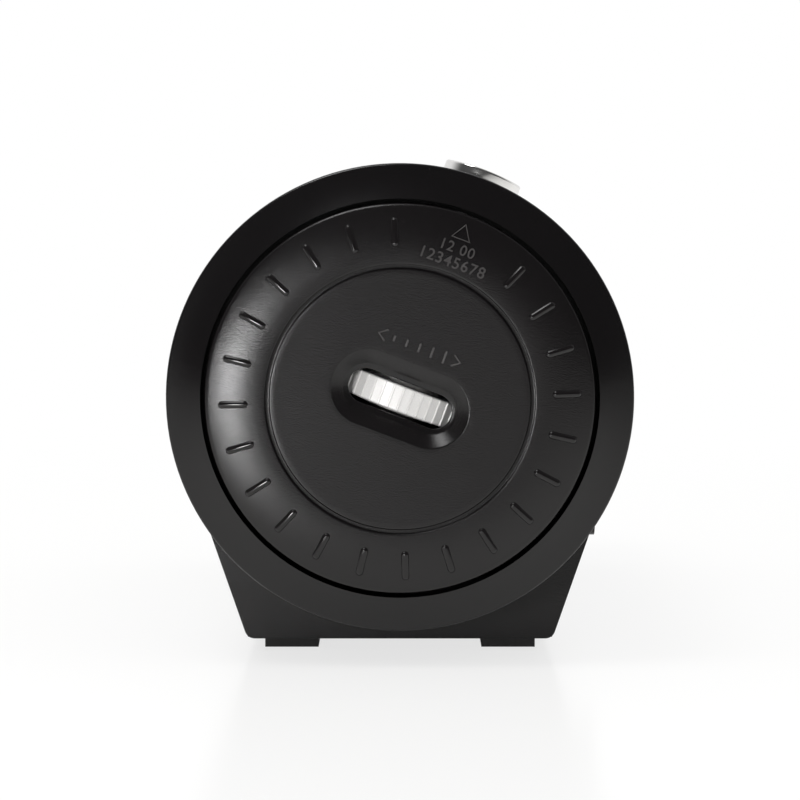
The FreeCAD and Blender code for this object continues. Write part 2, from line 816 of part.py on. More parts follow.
case_part(cut("battery_door", door_plate, *door_grips), "battery_door")
cell_run = (S.bay_left + S.contact_space, BAY_RIGHT - S.contact_space)
cells = []
contacts = []
for side in (-1, 1):
    cell_y = side * S.cell_pitch / 2
    cells.append(rod(f"cell_{side + 1}", "x", S.cell_radius, *cell_run, (cell_y, CELL_Z)))
    for end, wall_x, inward in (("left", S.bay_left, 1), ("right", BAY_RIGHT, -1)):
        plate_x = sorted([wall_x, wall_x + inward * S.contact_thickness], key=lambda item: item.value)
        spring_x = sorted([wall_x, wall_x + inward * (S.contact_space - S.contact_play)],
                          key=lambda item: item.value)
        tag = f"{end}_{side + 1}"
        contacts.append(fuse(f"contact_{tag}",
                             box(f"contact_plate_{tag}", plate_x,
                                 (cell_y - S.contact_plate_half, cell_y + S.contact_plate_half),
                                 (CELL_Z - S.contact_plate_half, CELL_Z + S.contact_plate_half)),
                             rod(f"contact_spring_{tag}", "x", S.contact_spring_radius, *spring_x,
                                 (cell_y, CELL_Z))))
case_part(group("battery_cells", *cells), "battery_cells")
case_part(group("battery_contacts", *contacts), "battery_contacts")
for index, (foot_x, foot_y) in enumerate(foot_centres):
    half_x = S.foot_length / 2
    half_y = S.foot_width / 2
    name = f"rubber_foot_{index + 1}"
    blank = box(f"{name}_blank", (foot_x - half_x, foot_x + half_x), (foot_y - half_y, foot_y + half_y),
                (-S.axis_height, BASE_Z))
    hollow = rod(f"{name}_hollow", "z", S.foot_width / 4, -S.axis_height, -S.axis_height + S.foot_recess,
                 (foot_x, foot_y))
    case_part(cut(name, blank, hollow), name)

# the loudspeaker and its perforated drum at the left end
cap_inner = S.speaker_cap_left + S.wall
cap_cup = turned("cap_cup", "x", [
    (S.speaker_cap_left, 0),
    (S.speaker_cap_left, S.drum_radius),
    (LEFT_PLATE_LEFT, S.drum_radius),
    (LEFT_PLATE_LEFT, SHELL_INNER),
    (cap_inner, SHELL_INNER),
    (cap_inner, 0),
])
round_edges(cap_cup, S.cap_edge_round, circle_at("x", S.speaker_cap_left, S.drum_radius))
grille_holes = [rod("grille_hole_0", "x", S.grille_hole, S.speaker_cap_left, cap_inner)]
for ring in range(1, int(S.grille_rings.value) + 1):
    for step in range(6 * ring):
        angle = 60.0 * step / ring
        place = (ring * S.grille_pitch * cosine(angle), ring * S.grille_pitch * sine(angle))
        grille_holes.append(rod(f"grille_hole_{ring}_{step}", "x", S.grille_hole, S.speaker_cap_left,
                                cap_inner, place))
cap_cutter = group("grille_cutter", *grille_holes)
case_part(cut("speaker_end_cap", cap_cup, cap_cutter), "speaker_end_cap")
flange_left = LEFT_PLATE_LEFT - S.speaker_flange_thickness
basket_back = flange_left + S.basket_depth
case_part(turned("speaker_frame", "x", [
    (flange_left, S.cone_radius + S.cone_seat),
    (flange_left, S.speaker_flange_radius),
    (LEFT_PLATE_LEFT, S.speaker_flange_radius),
    (LEFT_PLATE_LEFT, S.basket_radius),
    (basket_back, S.basket_neck),
    (basket_back, S.cone_neck + S.cone_seat),
    (basket_back - S.basket_sheet, S.cone_neck + S.cone_seat),
    (basket_back - S.basket_sheet, S.basket_neck - S.cone_seat),
    (LEFT_PLATE_LEFT, S.cone_radius + S.cone_seat),
]), "speaker_frame")
case_part(turned("speaker_cone", "x", [
    (flange_left, S.cone_radius + S.cone_seat),
    (flange_left + S.cone_depth, S.cone_neck),
    (flange_left + S.cone_depth - S.cone_dome, 0),
    (flange_left + S.cone_depth - S.cone_dome - S.cone_sheet, 0),
    (flange_left + S.cone_depth - S.cone_sheet - S.cone_lip, S.cone_neck),
    (flange_left, S.cone_radius - S.cone_lip),
]), "speaker_cone")
case_part(turned("speaker_magnet", "x", [
    (basket_back, 0), (basket_back, S.magnet_radius), (basket_back + S.magnet_thickness, S.magnet_radius),
    (basket_back + S.magnet_thickness, 0),
]), "speaker_magnet")

# the deck on top, its sprung keys and the board under them
deck_bottom = DECK_HEIGHT - S.deck_thickness
lip_bottom = deck_bottom - S.deck_lip_thickness
deck_lip = (S.deck_left - S.deck_lip, S.deck_right + S.deck_lip)
deck_blank = fuse("deck_blank",
                  box("deck_plate", (S.deck_left, S.deck_right), (-S.deck_half_width, S.deck_half_width),
                      (deck_bottom, DECK_HEIGHT)),
                  cut("deck_lip_ring",
                      box("deck_lip_outer", deck_lip,
                          (-S.deck_half_width - S.deck_lip, S.deck_half_width + S.deck_lip),
                          (lip_bottom, deck_bottom)),
                      box("deck_lip_inner",
                          (S.deck_left + S.deck_lip_overlap, S.deck_right - S.deck_lip_overlap),
                          (S.deck_lip_overlap - S.deck_half_width, S.deck_half_width - S.deck_lip_overlap),
                          (lip_bottom, deck_bottom))))
board_bottom = KEY_BOARD_TOP - S.board_thickness
stake_places = [(place_x, side * (S.key_board_half_width - S.stake_side_inset)) for side in (1, -1)
                for place_x in (S.deck_left + S.stake_end_inset, S.deck_right - S.stake_end_inset)]
stakes = []
board_holes = []
for index, place in enumerate(stake_places):
    stakes.append(rod(f"stake_post_{index}", "z", S.stake_radius * 2, KEY_BOARD_TOP, deck_bottom, place))
    stakes.append(rod(f"stake_pin_{index}", "z", S.stake_radius, board_bottom, KEY_BOARD_TOP, place))
    stakes.append(rod(f"stake_head_{index}", "z", S.stake_radius * 2, board_bottom - S.stake_head_height,
                      board_bottom, place))
    board_holes.append(rod(f"stake_hole_{index}", "z", S.stake_radius + S.running_fit, board_bottom,
                           KEY_BOARD_TOP, place))
KEYS = [("snooze_bar", S.snooze_left, -S.snooze_width / 2, S.snooze_length, S.snooze_width)]
for row, row_side in enumerate((-1, 1)):
    row_y = row_side * S.button_row_offset - S.button_width / 2
    KEYS.append((f"left_button_{row + 1}", S.left_button_x, row_y, S.button_length, S.button_width))
    KEYS.append((f"inner_button_{row + 1}", S.left_button_x + S.button_pitch, row_y, S.button_length,
                 S.button_width))
    KEYS.append((f"right_button_{row + 1}", S.right_button_x, row_y, S.button_length, S.button_width))
key_openings = []
tact_parts = []
plunger_top = KEY_BOARD_TOP + S.switch_height + S.plunger_height
flange_top = deck_bottom - S.fit
flange_bottom = flange_top - S.key_flange_thickness
for name, left, front, length, width in KEYS:
    right = left + length
    back = front + width
    gap = S.moving_fit
    key_openings.append(box(f"{name}_opening", (left - gap, right + gap), (front - gap, back + gap),
                            (deck_bottom, DECK_HEIGHT)))
    centre = ((left + right) / 2, (front + back) / 2)
    flange = S.key_flange + gap
    body = fuse(f"{name}_body",
                box(f"{name}_cap", (left, right), (front, back), (flange_bottom, KEY_TOP)),
                box(f"{name}_flange", (left - flange, right + flange), (front - flange, back + flange),
                    (flange_bottom, flange_top)),
                rod(f"{name}_stem", "z", S.key_stem_radius, plunger_top + S.key_travel + S.key_stem_lift,
                    flange_bottom, centre))
    hollow = box(f"{name}_finger_hollow", (left + S.finger_rim, right - S.finger_rim),
                 (front + S.finger_rim, back - S.finger_rim),
                 (KEY_TOP - S.finger_depth, KEY_TOP))
    case_part(cut(name, body, hollow), name)
    half = S.switch_side / 2
    tact_parts.append(fuse(f"{name}_switch",
                           box(f"{name}_switch_body", (centre[0] - half, centre[0] + half),
                               (centre[1] - half, centre[1] + half),
                               (KEY_BOARD_TOP, KEY_BOARD_TOP + S.switch_height)),
                           rod(f"{name}_plunger", "z", S.plunger_radius, KEY_BOARD_TOP,
                               plunger_top, centre)))
case_part(cut("top_panel", fuse("deck_with_stakes", deck_blank, *stakes), *key_openings), "top_panel")
case_part(cut("key_board", box("key_board_plate",
                               (S.deck_left + S.key_board_inset, S.deck_right - S.key_board_inset),
                               (-S.key_board_half_width, S.key_board_half_width),
                               (board_bottom, KEY_BOARD_TOP)), *board_holes), "key_board")
case_part(group("tact_switches", *tact_parts), "tact_switches")

# the smoked window and the digit module behind it, drawn level and turned to face up a little
tilted_part(turned("display_window", "x", [
    (S.display_left, SHELL_INNER), (S.display_right, SHELL_INNER),
    (S.display_right, S.drum_radius), (S.display_left, S.drum_radius),
], S.display_sweep), "display_window", S.display_upper)
DISPLAY_TILT = S.display_upper + S.display_sweep / 2 - 90
module_left = S.display_left + S.module_inset
module_right = S.display_right - S.module_inset
module_back = S.module_depth - MODULE_FACE
half_module = S.module_half_height
module_mid = (module_left + module_right) / 2
digit_left = module_mid - S.digit_pitch * 2


def segment_boxes(name, left):
    """Make the seven bars of one digit as solids on the module's face, in the order a to g."""
    bar = S.segment_width
    gap = S.digit_slant
    width = S.digit_width
    half = S.digit_height / 2
    face = (-MODULE_FACE - S.segment_thickness, -MODULE_FACE)
    right = left + width
    spans = [
        ((left + bar, right - bar), (half - bar, half)),
        ((right - bar, right), (gap, half - bar - gap)),
        ((right - bar, right), (bar + gap - half, -gap)),
        ((left + bar, right - bar), (-half, bar - half)),
        ((left, left + bar), (bar + gap - half, -gap)),
        ((left, left + bar), (gap, half - bar - gap)),
        ((left + bar + gap, right - bar - gap), (-bar / 2, bar / 2)),
    ]
    return [box(f"{name}_{letter}", across, face, up) for letter, (across, up) in zip("abcdefg", spans)]


LIT_BARS = {"1": "bc", "2": "abged", "0": "abcdef"}
lit = []
dim = []
for index, digit in enumerate("1200"):
    shift = S.digit_pitch * index + (S.colon_size * 2 if index > 1 else ZERO)
    for bar, letter in zip(segment_boxes(f"digit_{index}", digit_left + shift), "abcdefg"):
        (lit if letter in LIT_BARS[digit] else dim).append(bar)
colon_x = digit_left + S.digit_pitch * 2 - 1.6
for index, height in enumerate((-4, 3)):
    lit.append(box(f"colon_{index}", (colon_x, colon_x + S.colon_size),
                   (-MODULE_FACE - S.segment_thickness, -MODULE_FACE),
                   (sized(height), height + S.colon_size)))
tilted_part(group("display_segments_lit", *lit), "display_segments_lit", DISPLAY_TILT)
tilted_part(group("display_segments_dim", *dim), "display_segments_dim", DISPLAY_TILT)
ear_radius = SHELL_INNER - S.moving_fit
ear_half = root(ear_radius * ear_radius - MODULE_FACE * MODULE_FACE)
ear_depth = (-MODULE_FACE, S.module_ear_thickness - MODULE_FACE)
module_ears = [
    box("left_ear", (S.display_left - S.module_ear, module_left + 1), ear_depth, (-ear_half, ear_half)),
    box("right_ear", (module_right - 1, S.display_right + S.module_ear), ear_depth, (-ear_half, ear_half)),
]
module_block = box("module_block", (module_left, module_right), (-MODULE_FACE, module_back),
                   (-half_module, half_module))
tilted_part(cut("led_module", fuse("module_with_ears", module_block, *module_ears),
                box("module_hollow", (module_left + S.module_wall, module_right - S.module_wall),
                    (S.module_wall - MODULE_FACE, module_back),
                    (S.module_wall - half_module, half_module - S.module_wall))), "led_module", DISPLAY_TILT)
board_back = module_back + S.board_thickness
display_board = box("display_board_plate", (module_left, module_right), (module_back, board_back),
                    (-half_module - S.board_margin, half_module + S.board_margin))
display_chip = box("display_chip", (module_mid - S.display_chip_half, module_mid + S.display_chip_half),
                   (board_back, board_back + S.display_chip_height),
                   (-S.display_chip_half_width, S.display_chip_half_width))
tilted_part(fuse("display_board", display_board, display_chip), "display_board", DISPLAY_TILT)

# the main board on posts, the power inlet and the two slide switches on the back
board_span = (BOARD_LEFT, S.board_right)
main_board = box("main_board_plate", board_span, (-S.board_half_width, S.board_half_width),
                 (S.board_height, S.board_height + S.board_thickness))
post_places = [(place_x, side * (S.board_half_width - S.board_post_inset)) for side in (1, -1)
               for place_x in (BOARD_LEFT + S.board_post_inset, S.board_right - S.board_post_inset)]
pin_top = S.board_height + S.board_thickness + S.pin_proud
post_pins = [rod(f"post_pin_{index}", "z", S.stake_radius, COVER_TOP, pin_top, place)
             for index, place in enumerate(post_places)]
post_shafts = [rod(f"post_shaft_{index}", "z", S.board_post_radius, COVER_TOP, S.board_height, place)
               for index, place in enumerate(post_places)]
pin_holes = [rod(f"pin_hole_{index}", "z", S.stake_radius + S.running_fit, S.board_height,
                 S.board_height + S.board_thickness, place) for index, place in enumerate(post_places)]
case_part(cut("main_board", main_board, *pin_holes), "main_board")
case_part(group("board_posts", *[fuse(f"board_post_{index}", pin, shaft)
                                 for index, (pin, shaft) in enumerate(zip(post_pins, post_shafts))]),
          "board_posts")
board_surface = S.board_height + S.board_thickness
chip_left = BOARD_LEFT + S.clock_chip_x
radio_left = BOARD_LEFT + S.radio_chip_x
crystal_left = BOARD_LEFT + S.crystal_x
board_parts = [
    box("clock_chip", (chip_left, chip_left + S.clock_chip_length),
        (-S.clock_chip_half_width, S.clock_chip_half_width),
        (board_surface, board_surface + S.clock_chip_height)),
    box("radio_chip", (radio_left, radio_left + S.radio_chip_side),
        (S.radio_chip_y, S.radio_chip_y + S.radio_chip_side),
        (board_surface, board_surface + S.radio_chip_height)),
    box("crystal", (crystal_left, crystal_left + S.crystal_length),
        (S.crystal_y, S.crystal_y + S.crystal_width),
        (board_surface, board_surface + S.crystal_height)),
    rod("large_capacitor", "z", S.large_capacitor_radius, board_surface,
        board_surface + S.large_capacitor_height, (BOARD_LEFT + S.large_capacitor_x, S.large_capacitor_y)),
    rod("small_capacitor", "z", S.small_capacitor_radius, board_surface,
        board_surface + S.small_capacitor_height, (BOARD_LEFT + S.small_capacitor_x, S.small_capacitor_y)),
    rod("buzzer", "z", S.buzzer_radius, board_surface, board_surface + S.buzzer_height,
        (BOARD_LEFT + S.buzzer_x, S.buzzer_y)),
]
case_part(group("board_parts", *board_parts), "board_parts")
inlet_back = INLET_FACE - S.inlet_length
inlet_mouth = INLET_FACE - S.inlet_recess
inlet_body = cut("inlet_barrel_cut",
                 rod("inlet_barrel", "y", S.inlet_barrel_radius, inlet_back, inlet_mouth, inlet_place),
                 rod("inlet_bore_tool", "y", S.inlet_bore, inlet_mouth - S.inlet_depth, inlet_mouth,
                     inlet_place))
inlet_stand = box("inlet_stand", (S.inlet_x - S.inlet_stand_half, S.inlet_x + S.inlet_stand_half),
                  (inlet_back - S.inlet_stand_length, inlet_back),
                  (S.inlet_z - S.inlet_stand_half, S.inlet_z + S.inlet_stand_half))
inlet_pin = rod("inlet_pin", "y", S.inlet_pin, inlet_back, inlet_mouth - S.inlet_pin_recess, inlet_place)
case_part(fuse("dc_jack", inlet_body, inlet_stand, inlet_pin), "dc_jack")
for name, centre in zip(("dimmer", "projector"), SLIDER_CENTRES):
    half_body = S.slider_body_length / 2
    half_high = S.slider_body_height / 2
    channel = (S.slider_knob_length + S.slider_travel) / 2 + S.fit
    channel_half = S.slider_knob_height / 2 + S.fit
    body = cut(f"{name}_switch",
               box(f"{name}_switch_block", (centre - half_body, centre + half_body),
                   (SLIDER_Y - S.slider_body_depth, SLIDER_Y),
                   (S.slider_z - half_high, S.slider_z + half_high)),
               box(f"{name}_switch_channel", (centre - channel, centre + channel),
                   (SLIDER_Y - S.slider_channel_depth, SLIDER_Y),
                   (S.slider_z - channel_half, S.slider_z + channel_half)))
    case_part(body, f"{name}_switch")
    knob_left = centre - (S.slider_knob_length + S.slider_travel) / 2
    knob_half = S.slider_knob_height / 2
    knob_back = SLIDER_Y - S.slider_channel_depth + S.slider_knob_lift
    knob_front = S.drum_radius + S.slider_knob_proud
    knob = box(f"{name}_knob_block", (knob_left, knob_left + S.slider_knob_length),
               (knob_back, knob_front), (S.slider_z - knob_half, S.slider_z + knob_half))
    grip = box(f"{name}_knob_grip",
               (knob_left + S.slider_grip_rim, knob_left + S.slider_knob_length - S.slider_grip_rim),
               (knob_front - S.slider_grip_depth, knob_front),
               (S.slider_z - knob_half, S.slider_z + knob_half))
    case_part(cut(f"{name}_knob", knob, grip), f"{name}_knob")

# the projector's drum, drawn about the drum's axis with the lens straight up
DRUM_LEFT = PLATE_RIGHT + S.swivel_gap
BACK_WALL = DRUM_LEFT + S.projector_back
COLLAR_END = S.case_right - S.bearing_depth - S.moving_fit
DRUM_INNER = S.drum_radius - S.wall
drum_blank = turned("drum_blank", "x", [
    (COLLAR_END, S.collar_inner_radius),
    (BACK_WALL, S.collar_inner_radius),
    (BACK_WALL, DRUM_INNER),
    (S.projector_edge - S.wall, DRUM_INNER),
    (S.rim_front - S.wall, RIM_INNER_RADIUS),
    (S.rim_front, RIM_INNER_RADIUS),
    Bulge(S.rim_bulge, 1),
    (S.projector_edge, S.drum_radius),
    (DRUM_LEFT, S.drum_radius),
    (DRUM_LEFT, S.collar_radius),
    (COLLAR_END, S.collar_radius),
])
round_edges(drum_blank, S.rim_round, circle_at("x", S.projector_edge, S.drum_radius))
post_angles = [45 + 90 * index for index in range(4)]
cover_places = [(POST_CIRCLE * cosine(angle), POST_CIRCLE * sine(angle))
                for angle in post_angles]
drum_posts = [rod(f"drum_post_{index}", "x", S.cover_post_radius, BACK_WALL, POST_SPLIT, place)
              for index, place in enumerate(cover_places)]
post_seat = POST_SPLIT - S.wall
drum_holes = [rod("bezel_hole", "z", S.bezel_radius + S.fit, DRUM_INNER - S.bezel_hole_depth,
                  S.drum_radius + S.overcut, (S.wheel_x, 0))]
for index, place in enumerate(cover_places):
    drum_holes.append(rod(f"post_hole_{index}", "x", screw_hole, post_seat, POST_SPLIT, place))
    drum_holes.append(rod(f"post_sink_{index}", "x", S.screw_head_radius + S.fit, DRUM_LEFT, post_seat,
                          place))
retainer_circle = (S.collar_inner_radius + S.collar_radius) / 2
retainer_places = [(retainer_circle * cosine(angle), retainer_circle * sine(angle))
                   for angle in (90, 210, 330)]
SMALL_SCREW = S.screw_radius * S.small_screw_share
small_hole = SMALL_SCREW + S.running_fit
for index, place in enumerate(retainer_places):
    drum_holes.append(rod(f"collar_hole_{index}", "x", small_hole, COLLAR_END,
                          COLLAR_END + S.collar_hole_depth, place))
bracket_places = [(side * (S.bracket_half_width - S.bracket_screw_inset), height * S.bracket_screw_height)
                  for side in (1, -1) for height in (1, -1)]
for index, place in enumerate(bracket_places):
    drum_holes.append(rod(f"bracket_pilot_{index}", "x", screw_hole, DRUM_LEFT, BACK_WALL, place))
projector_part(cut("projector_drum", fuse("drum_with_posts", drum_blank, *drum_posts), *drum_holes),
               "projector_drum")
retainer_front = COLLAR_END - S.retainer_thickness
retainer_ring = turned("retainer_ring", "x", [
    (retainer_front, S.collar_inner_radius), (COLLAR_END, S.collar_inner_radius),
    (COLLAR_END, S.retainer_radius), (retainer_front, S.retainer_radius),
])
retainer_holes = [rod(f"retainer_hole_{index}", "x", small_hole, retainer_front, COLLAR_END, place)
                  for index, place in enumerate(retainer_places)]
projector_part(cut("swivel_retainer", retainer_ring, *retainer_holes), "swivel_retainer")
small_screws = [fuse(f"retainer_screw_{index}",
                     rod(f"retainer_shank_{index}", "x", SMALL_SCREW, retainer_front,
                         COLLAR_END + S.retainer_grip, place),
                     rod(f"retainer_head_{index}", "x", SMALL_SCREW * 2,
                         retainer_front - S.retainer_head_height, retainer_front, place))
                for index, place in enumerate(retainer_places)]
projector_part(group("retainer_screws", *small_screws), "retainer_screws")
projector_part(screws("cover_screws", cover_places, "x", post_seat, 1, S.cover_screw_length), "cover_screws")

# the end cover with its ring of ticks, and the dish for the focus wheel
cover_radius = RIM_INNER_RADIUS - S.cover_gap
cover_back = S.cover_edge_front - S.cover_skirt
disc_radius = S.ring_inner_radius - S.groove_width
groove_floor = S.disc_front - S.groove_depth
skirt_end = S.cover_edge_front - S.cover_skirt_depth
cover_turned = turned("cover_turned", "x", [
    (cover_back, 0),
    (S.disc_front, 0),
    (S.disc_front, disc_radius),
    (groove_floor, disc_radius),
    (groove_floor, S.ring_inner_radius),
    (S.ring_front, S.ring_inner_radius),
    Bulge(S.ring_bulge, 1),
    (S.cover_edge_front, cover_radius),
    (skirt_end, cover_radius),
    (skirt_end, cover_radius - S.cover_skirt),
    (cover_back, cover_radius - S.cover_skirt),
])
round_edges(cover_turned, S.cover_edge_round, circle_at("x", S.cover_edge_front, cover_radius))
tick_round = S.tick_width / 2
tick_start = S.tick_inner_radius + tick_round
tick_end = S.tick_outer_radius - tick_round
tick_run = tick_end - tick_start
tick_fall = S.tick_inner_crest - S.tick_outer_crest
tick_length = root(tick_run * tick_run + tick_fall * tick_fall)
tick_slope = math.degrees(math.atan2(tick_fall.value, tick_run.value))
ticks = []
for index in range(int(S.tick_count.value)):
    tick_angle = (index + 1.5) * S.tick_pitch
    capsule = turned(f"tick_{index}_capsule", "z", [
        (0, -tick_round),
        Bulge(tick_round, -1),
        (tick_round, 0),
        (tick_round, tick_length),
        Bulge(tick_round, -1),
        (0, tick_length + tick_round),
    ])
    lean = FreeCAD.Rotation(FreeCAD.Vector(0, 1, 0), -tick_slope)
    capsule.Placement = FreeCAD.Placement(FreeCAD.Vector(), lean)
    move(capsule, S.tick_inner_crest - tick_round, 0, tick_start)
    placed = doc.addObject("Part::Compound", f"tick_{index}")
    placed.Links = [capsule]
    ticks.append(move(placed, angle=tick_angle))
DISH_BACK = S.disc_front - S.dish_depth
dish_boss_back = DISH_BACK - S.dish_floor


def stadium_outline(across, up):
    """Outline a bar with round ends, long across the lens axis."""
    half = across / 2 - up / 2
    return [
        (half, up / 2),
        Bulge(up / 2, 1),
        (half + up / 2, 0),
        Bulge(up / 2, 1),
        (half, -up / 2),
        (-half, -up / 2),
        Bulge(up / 2, 1),
        (-half - up / 2, 0),
        Bulge(up / 2, 1),
        (-half, up / 2),
    ]


def stadium(name, across, up, start, end):
    """Make a bar with round ends, long across the lens axis, between two places along X."""
    return extruded(name, stadium_outline(across, up), start, end)


def stadium_sketch(body, across, up, place):
    """Add a stadium outline to the body at a place along X, as one end of the dish."""
    sketch = sketch_on(body, "YZ_Plane", place)
    add_outline(sketch, stadium_outline(across, up))
    return sketch


dish_body = doc.addObject("PartDesign::Body", "dish_tool")
mouth_sketch = stadium_sketch(dish_body, S.dish_length, S.dish_width, S.disc_front)
floor_sketch = stadium_sketch(dish_body, S.slot_length + S.dish_lip, S.slot_width + S.dish_lip, DISH_BACK)
dish_loft = dish_body.newObject("PartDesign::AdditiveLoft", "dish_loft")
dish_loft.Profile = mouth_sketch
dish_loft.Sections = [floor_sketch]
dish_loft.Ruled = True
slot_tool = stadium("slot_tool", S.slot_length, S.slot_width, dish_boss_back, S.disc_front)
dish_boss = stadium("dish_boss", S.slot_length + S.dish_boss_margin, S.slot_width + S.dish_boss_margin,
                    dish_boss_back, cover_back)
cover_bosses = [rod(f"cover_boss_{index}", "x", S.cover_post_radius, POST_SPLIT, cover_back, place)
                for index, place in enumerate(cover_places)]
boss_holes = [rod(f"cover_boss_hole_{index}", "x", screw_hole, POST_SPLIT, cover_back, place)
              for index, place in enumerate(cover_places)]
cover_solid = fuse("cover_solid", cover_turned, dish_boss, *cover_bosses, *ticks)
projector_part(cut("projector_cover", cover_solid, dish_body, slot_tool, *boss_holes), "projector_cover")

# the focus wheel across the lens axis
wheel_half = S.wheel_width / 2
facets = doc.addObject("Part::Prism", "wheel_facets_prism")
bind(facets, Polygon=S.wheel_facets, Circumradius=S.wheel_radius, Height=S.wheel_width)
move(facets, z=-wheel_half)
crown = turned("wheel_crown_disc", "z", [
    (0, -wheel_half), (S.wheel_radius - S.wheel_crown, -wheel_half),
    (S.wheel_radius, S.wheel_crown - wheel_half), (S.wheel_radius, wheel_half - S.wheel_crown),
    (S.wheel_radius - S.wheel_crown, wheel_half), (0, wheel_half),
])
hub_half = wheel_half + S.hub_overhang
wheel_disc = fuse("wheel_with_hub", common("wheel_disc", facets, crown),
                  rod("wheel_hub", "z", S.hub_radius, -hub_half, hub_half))
wheel_local = cut("wheel_local", wheel_disc,
                  rod("wheel_bore", "z", S.tube_bore, -hub_half, hub_half))
move(wheel_local, S.wheel_x)
wheel_node = group("focus_wheel", wheel_local)
projector_part(wheel_node, "focus_wheel")

# the bracket that carries the optics, with the guide tube above the wheel and the lamp tube below
TUBE_START = hub_half + S.tube_gap
bracket_right = BACK_WALL + S.bracket_thickness
upper_tube = rod("guide_tube", "z", S.tube_radius, TUBE_START, GUIDE_TUBE_END, (S.wheel_x, 0))
lower_tube = rod("lamp_tube", "z", S.tube_radius, -S.lamp_tube_end, -TUBE_START, (S.wheel_x, 0))
bracket_plate = box("bracket_plate", (BACK_WALL, bracket_right),
                    (-S.bracket_half_width, S.bracket_half_width),
                    (-S.bracket_screw_height - 3, S.bracket_screw_height + 3))
web_half = S.wall / 2
webs = [box("upper_web", (BACK_WALL, S.wheel_x - S.tube_bore - 0.5), (-web_half, web_half),
            (TUBE_START, GUIDE_TUBE_END - 2)),
        box("lower_web", (BACK_WALL, S.wheel_x - S.tube_bore - 0.5), (-web_half, web_half),
            (-S.lamp_tube_end, -TUBE_START))]
key_slot = box("key_slot", (S.wheel_x, S.wheel_x + S.tube_radius + 1),
               (-S.key_width / 2 - S.running_fit, S.key_width / 2 + S.running_fit),
               (GUIDE_TUBE_END - 12, GUIDE_TUBE_END))
bracket_cuts = [
    rod("optics_bore", "z", S.tube_bore, -S.lamp_tube_end, GUIDE_TUBE_END, (S.wheel_x, 0)),
    box("wheel_window", (BACK_WALL, bracket_right), (-S.wheel_radius, S.wheel_radius),
        (-TUBE_START, TUBE_START)),
    key_slot,
]
for index, place in enumerate(bracket_places):
    bracket_cuts.append(rod(f"bracket_hole_{index}", "x", screw_hole, BACK_WALL, bracket_right, place))
projector_part(cut("optics_bracket", fuse("bracket_solid", bracket_plate, upper_tube, lower_tube, *webs),
                   *bracket_cuts), "optics_bracket")
projector_part(screws("bracket_screws", bracket_places, "x", bracket_right, -1,
                      S.bracket_thickness + S.projector_back), "bracket_screws")
lens_low = BARREL_HIGH - S.lens_inset - S.lens_thickness
lens_radius = S.barrel_bore + 0.4
barrel_key = box("barrel_key", (S.wheel_x + lens_radius + 0.2, S.wheel_x + S.tube_radius - 0.3),
                 (-S.key_width / 2, S.key_width / 2), (BARREL_HIGH - 5, BARREL_HIGH - 1))
barrel_tube = turned("barrel_tube", "z", [
    (S.barrel_bore, S.barrel_low), (S.barrel_radius, S.barrel_low), (S.barrel_radius, BARREL_HIGH),
    (lens_radius + 0.05, BARREL_HIGH), (lens_radius + 0.05, lens_low), (S.barrel_bore, lens_low),
])
move(barrel_tube, S.wheel_x)
projector_part(fuse("lens_barrel", barrel_tube, barrel_key), "lens_barrel")
projection_lens = turned("projection_lens_turned", "z", [
    (0, lens_low), (lens_radius, lens_low), (lens_radius, BARREL_HIGH - S.lens_inset - 1),
    Bulge(S.lens_bulge, -1), (S.lens_flat, BARREL_HIGH - S.lens_inset + 0.2),
    (0, BARREL_HIGH - S.lens_inset + 0.2),
])
move(projection_lens, S.wheel_x)
projector_part(group("projection_lens", projection_lens), "projection_lens")
lamp_optic_radius = S.tube_bore - S.running_fit
slide = box("slide_glass", (S.wheel_x - 4, S.wheel_x + 4), (-4, 4),
            (-S.slide_depth, S.slide_thickness - S.slide_depth))
slide_holder = cut("slide_holder",
                   rod("slide_ring", "z", lamp_optic_radius, -S.slide_depth - 1, -S.slide_depth,
                       (S.wheel_x, 0)),
                   box("slide_gate", (S.wheel_x - S.slide_gate_half, S.wheel_x + S.slide_gate_half),
                       (-S.slide_gate_half, S.slide_gate_half),
                       (-S.slide_depth - 1, -S.slide_depth)))
projector_part(fuse("lcd_slide", slide, slide_holder), "lcd_slide")
condenser = turned("condenser_turned", "z", [
    (0, -S.condenser_depth - S.lens_thickness / 2),
    (lamp_optic_radius, -S.condenser_depth - S.lens_thickness / 2),
    (lamp_optic_radius, -S.condenser_depth),
    Bulge(S.lens_bulge, -1),
    (S.lens_flat, S.lens_thickness / 2 - S.condenser_depth), (0, S.lens_thickness / 2 - S.condenser_depth),
])
move(condenser, S.wheel_x)
projector_part(group("condenser_lens", condenser), "condenser_lens")
lamp = turned("lamp_turned", "z", [
    (0, -S.lamp_tube_end),
    (S.lamp_radius + S.lamp_flange, -S.lamp_tube_end),
    (S.lamp_radius + S.lamp_flange, S.lamp_flange_height - S.lamp_tube_end),
    (S.lamp_radius, S.lamp_flange_height - S.lamp_tube_end),
    (S.lamp_radius, S.lamp_height - S.lamp_radius - S.lamp_tube_end),
    Bulge(S.lamp_radius, -1), (0, S.lamp_height - S.lamp_tube_end),
])
move(lamp, S.wheel_x)
projector_part(group("projector_lamp", lamp), "projector_lamp")
lamp_board = box("lamp_board", (bracket_right, S.wheel_x + S.tube_radius),
                 (-S.lamp_board_half, S.lamp_board_half),
                 (-S.lamp_tube_end - S.board_thickness, -S.lamp_tube_end))
lamp_chip = box("lamp_chip", (S.wheel_x - S.lamp_chip_half, S.wheel_x + S.lamp_chip_half),
                (-S.lamp_chip_half, S.lamp_chip_half),
                (-S.lamp_tube_end - S.board_thickness - S.lamp_chip_height,
                 -S.lamp_tube_end - S.board_thickness))
projector_part(fuse("projector_board", lamp_board, lamp_chip), "projector_board")

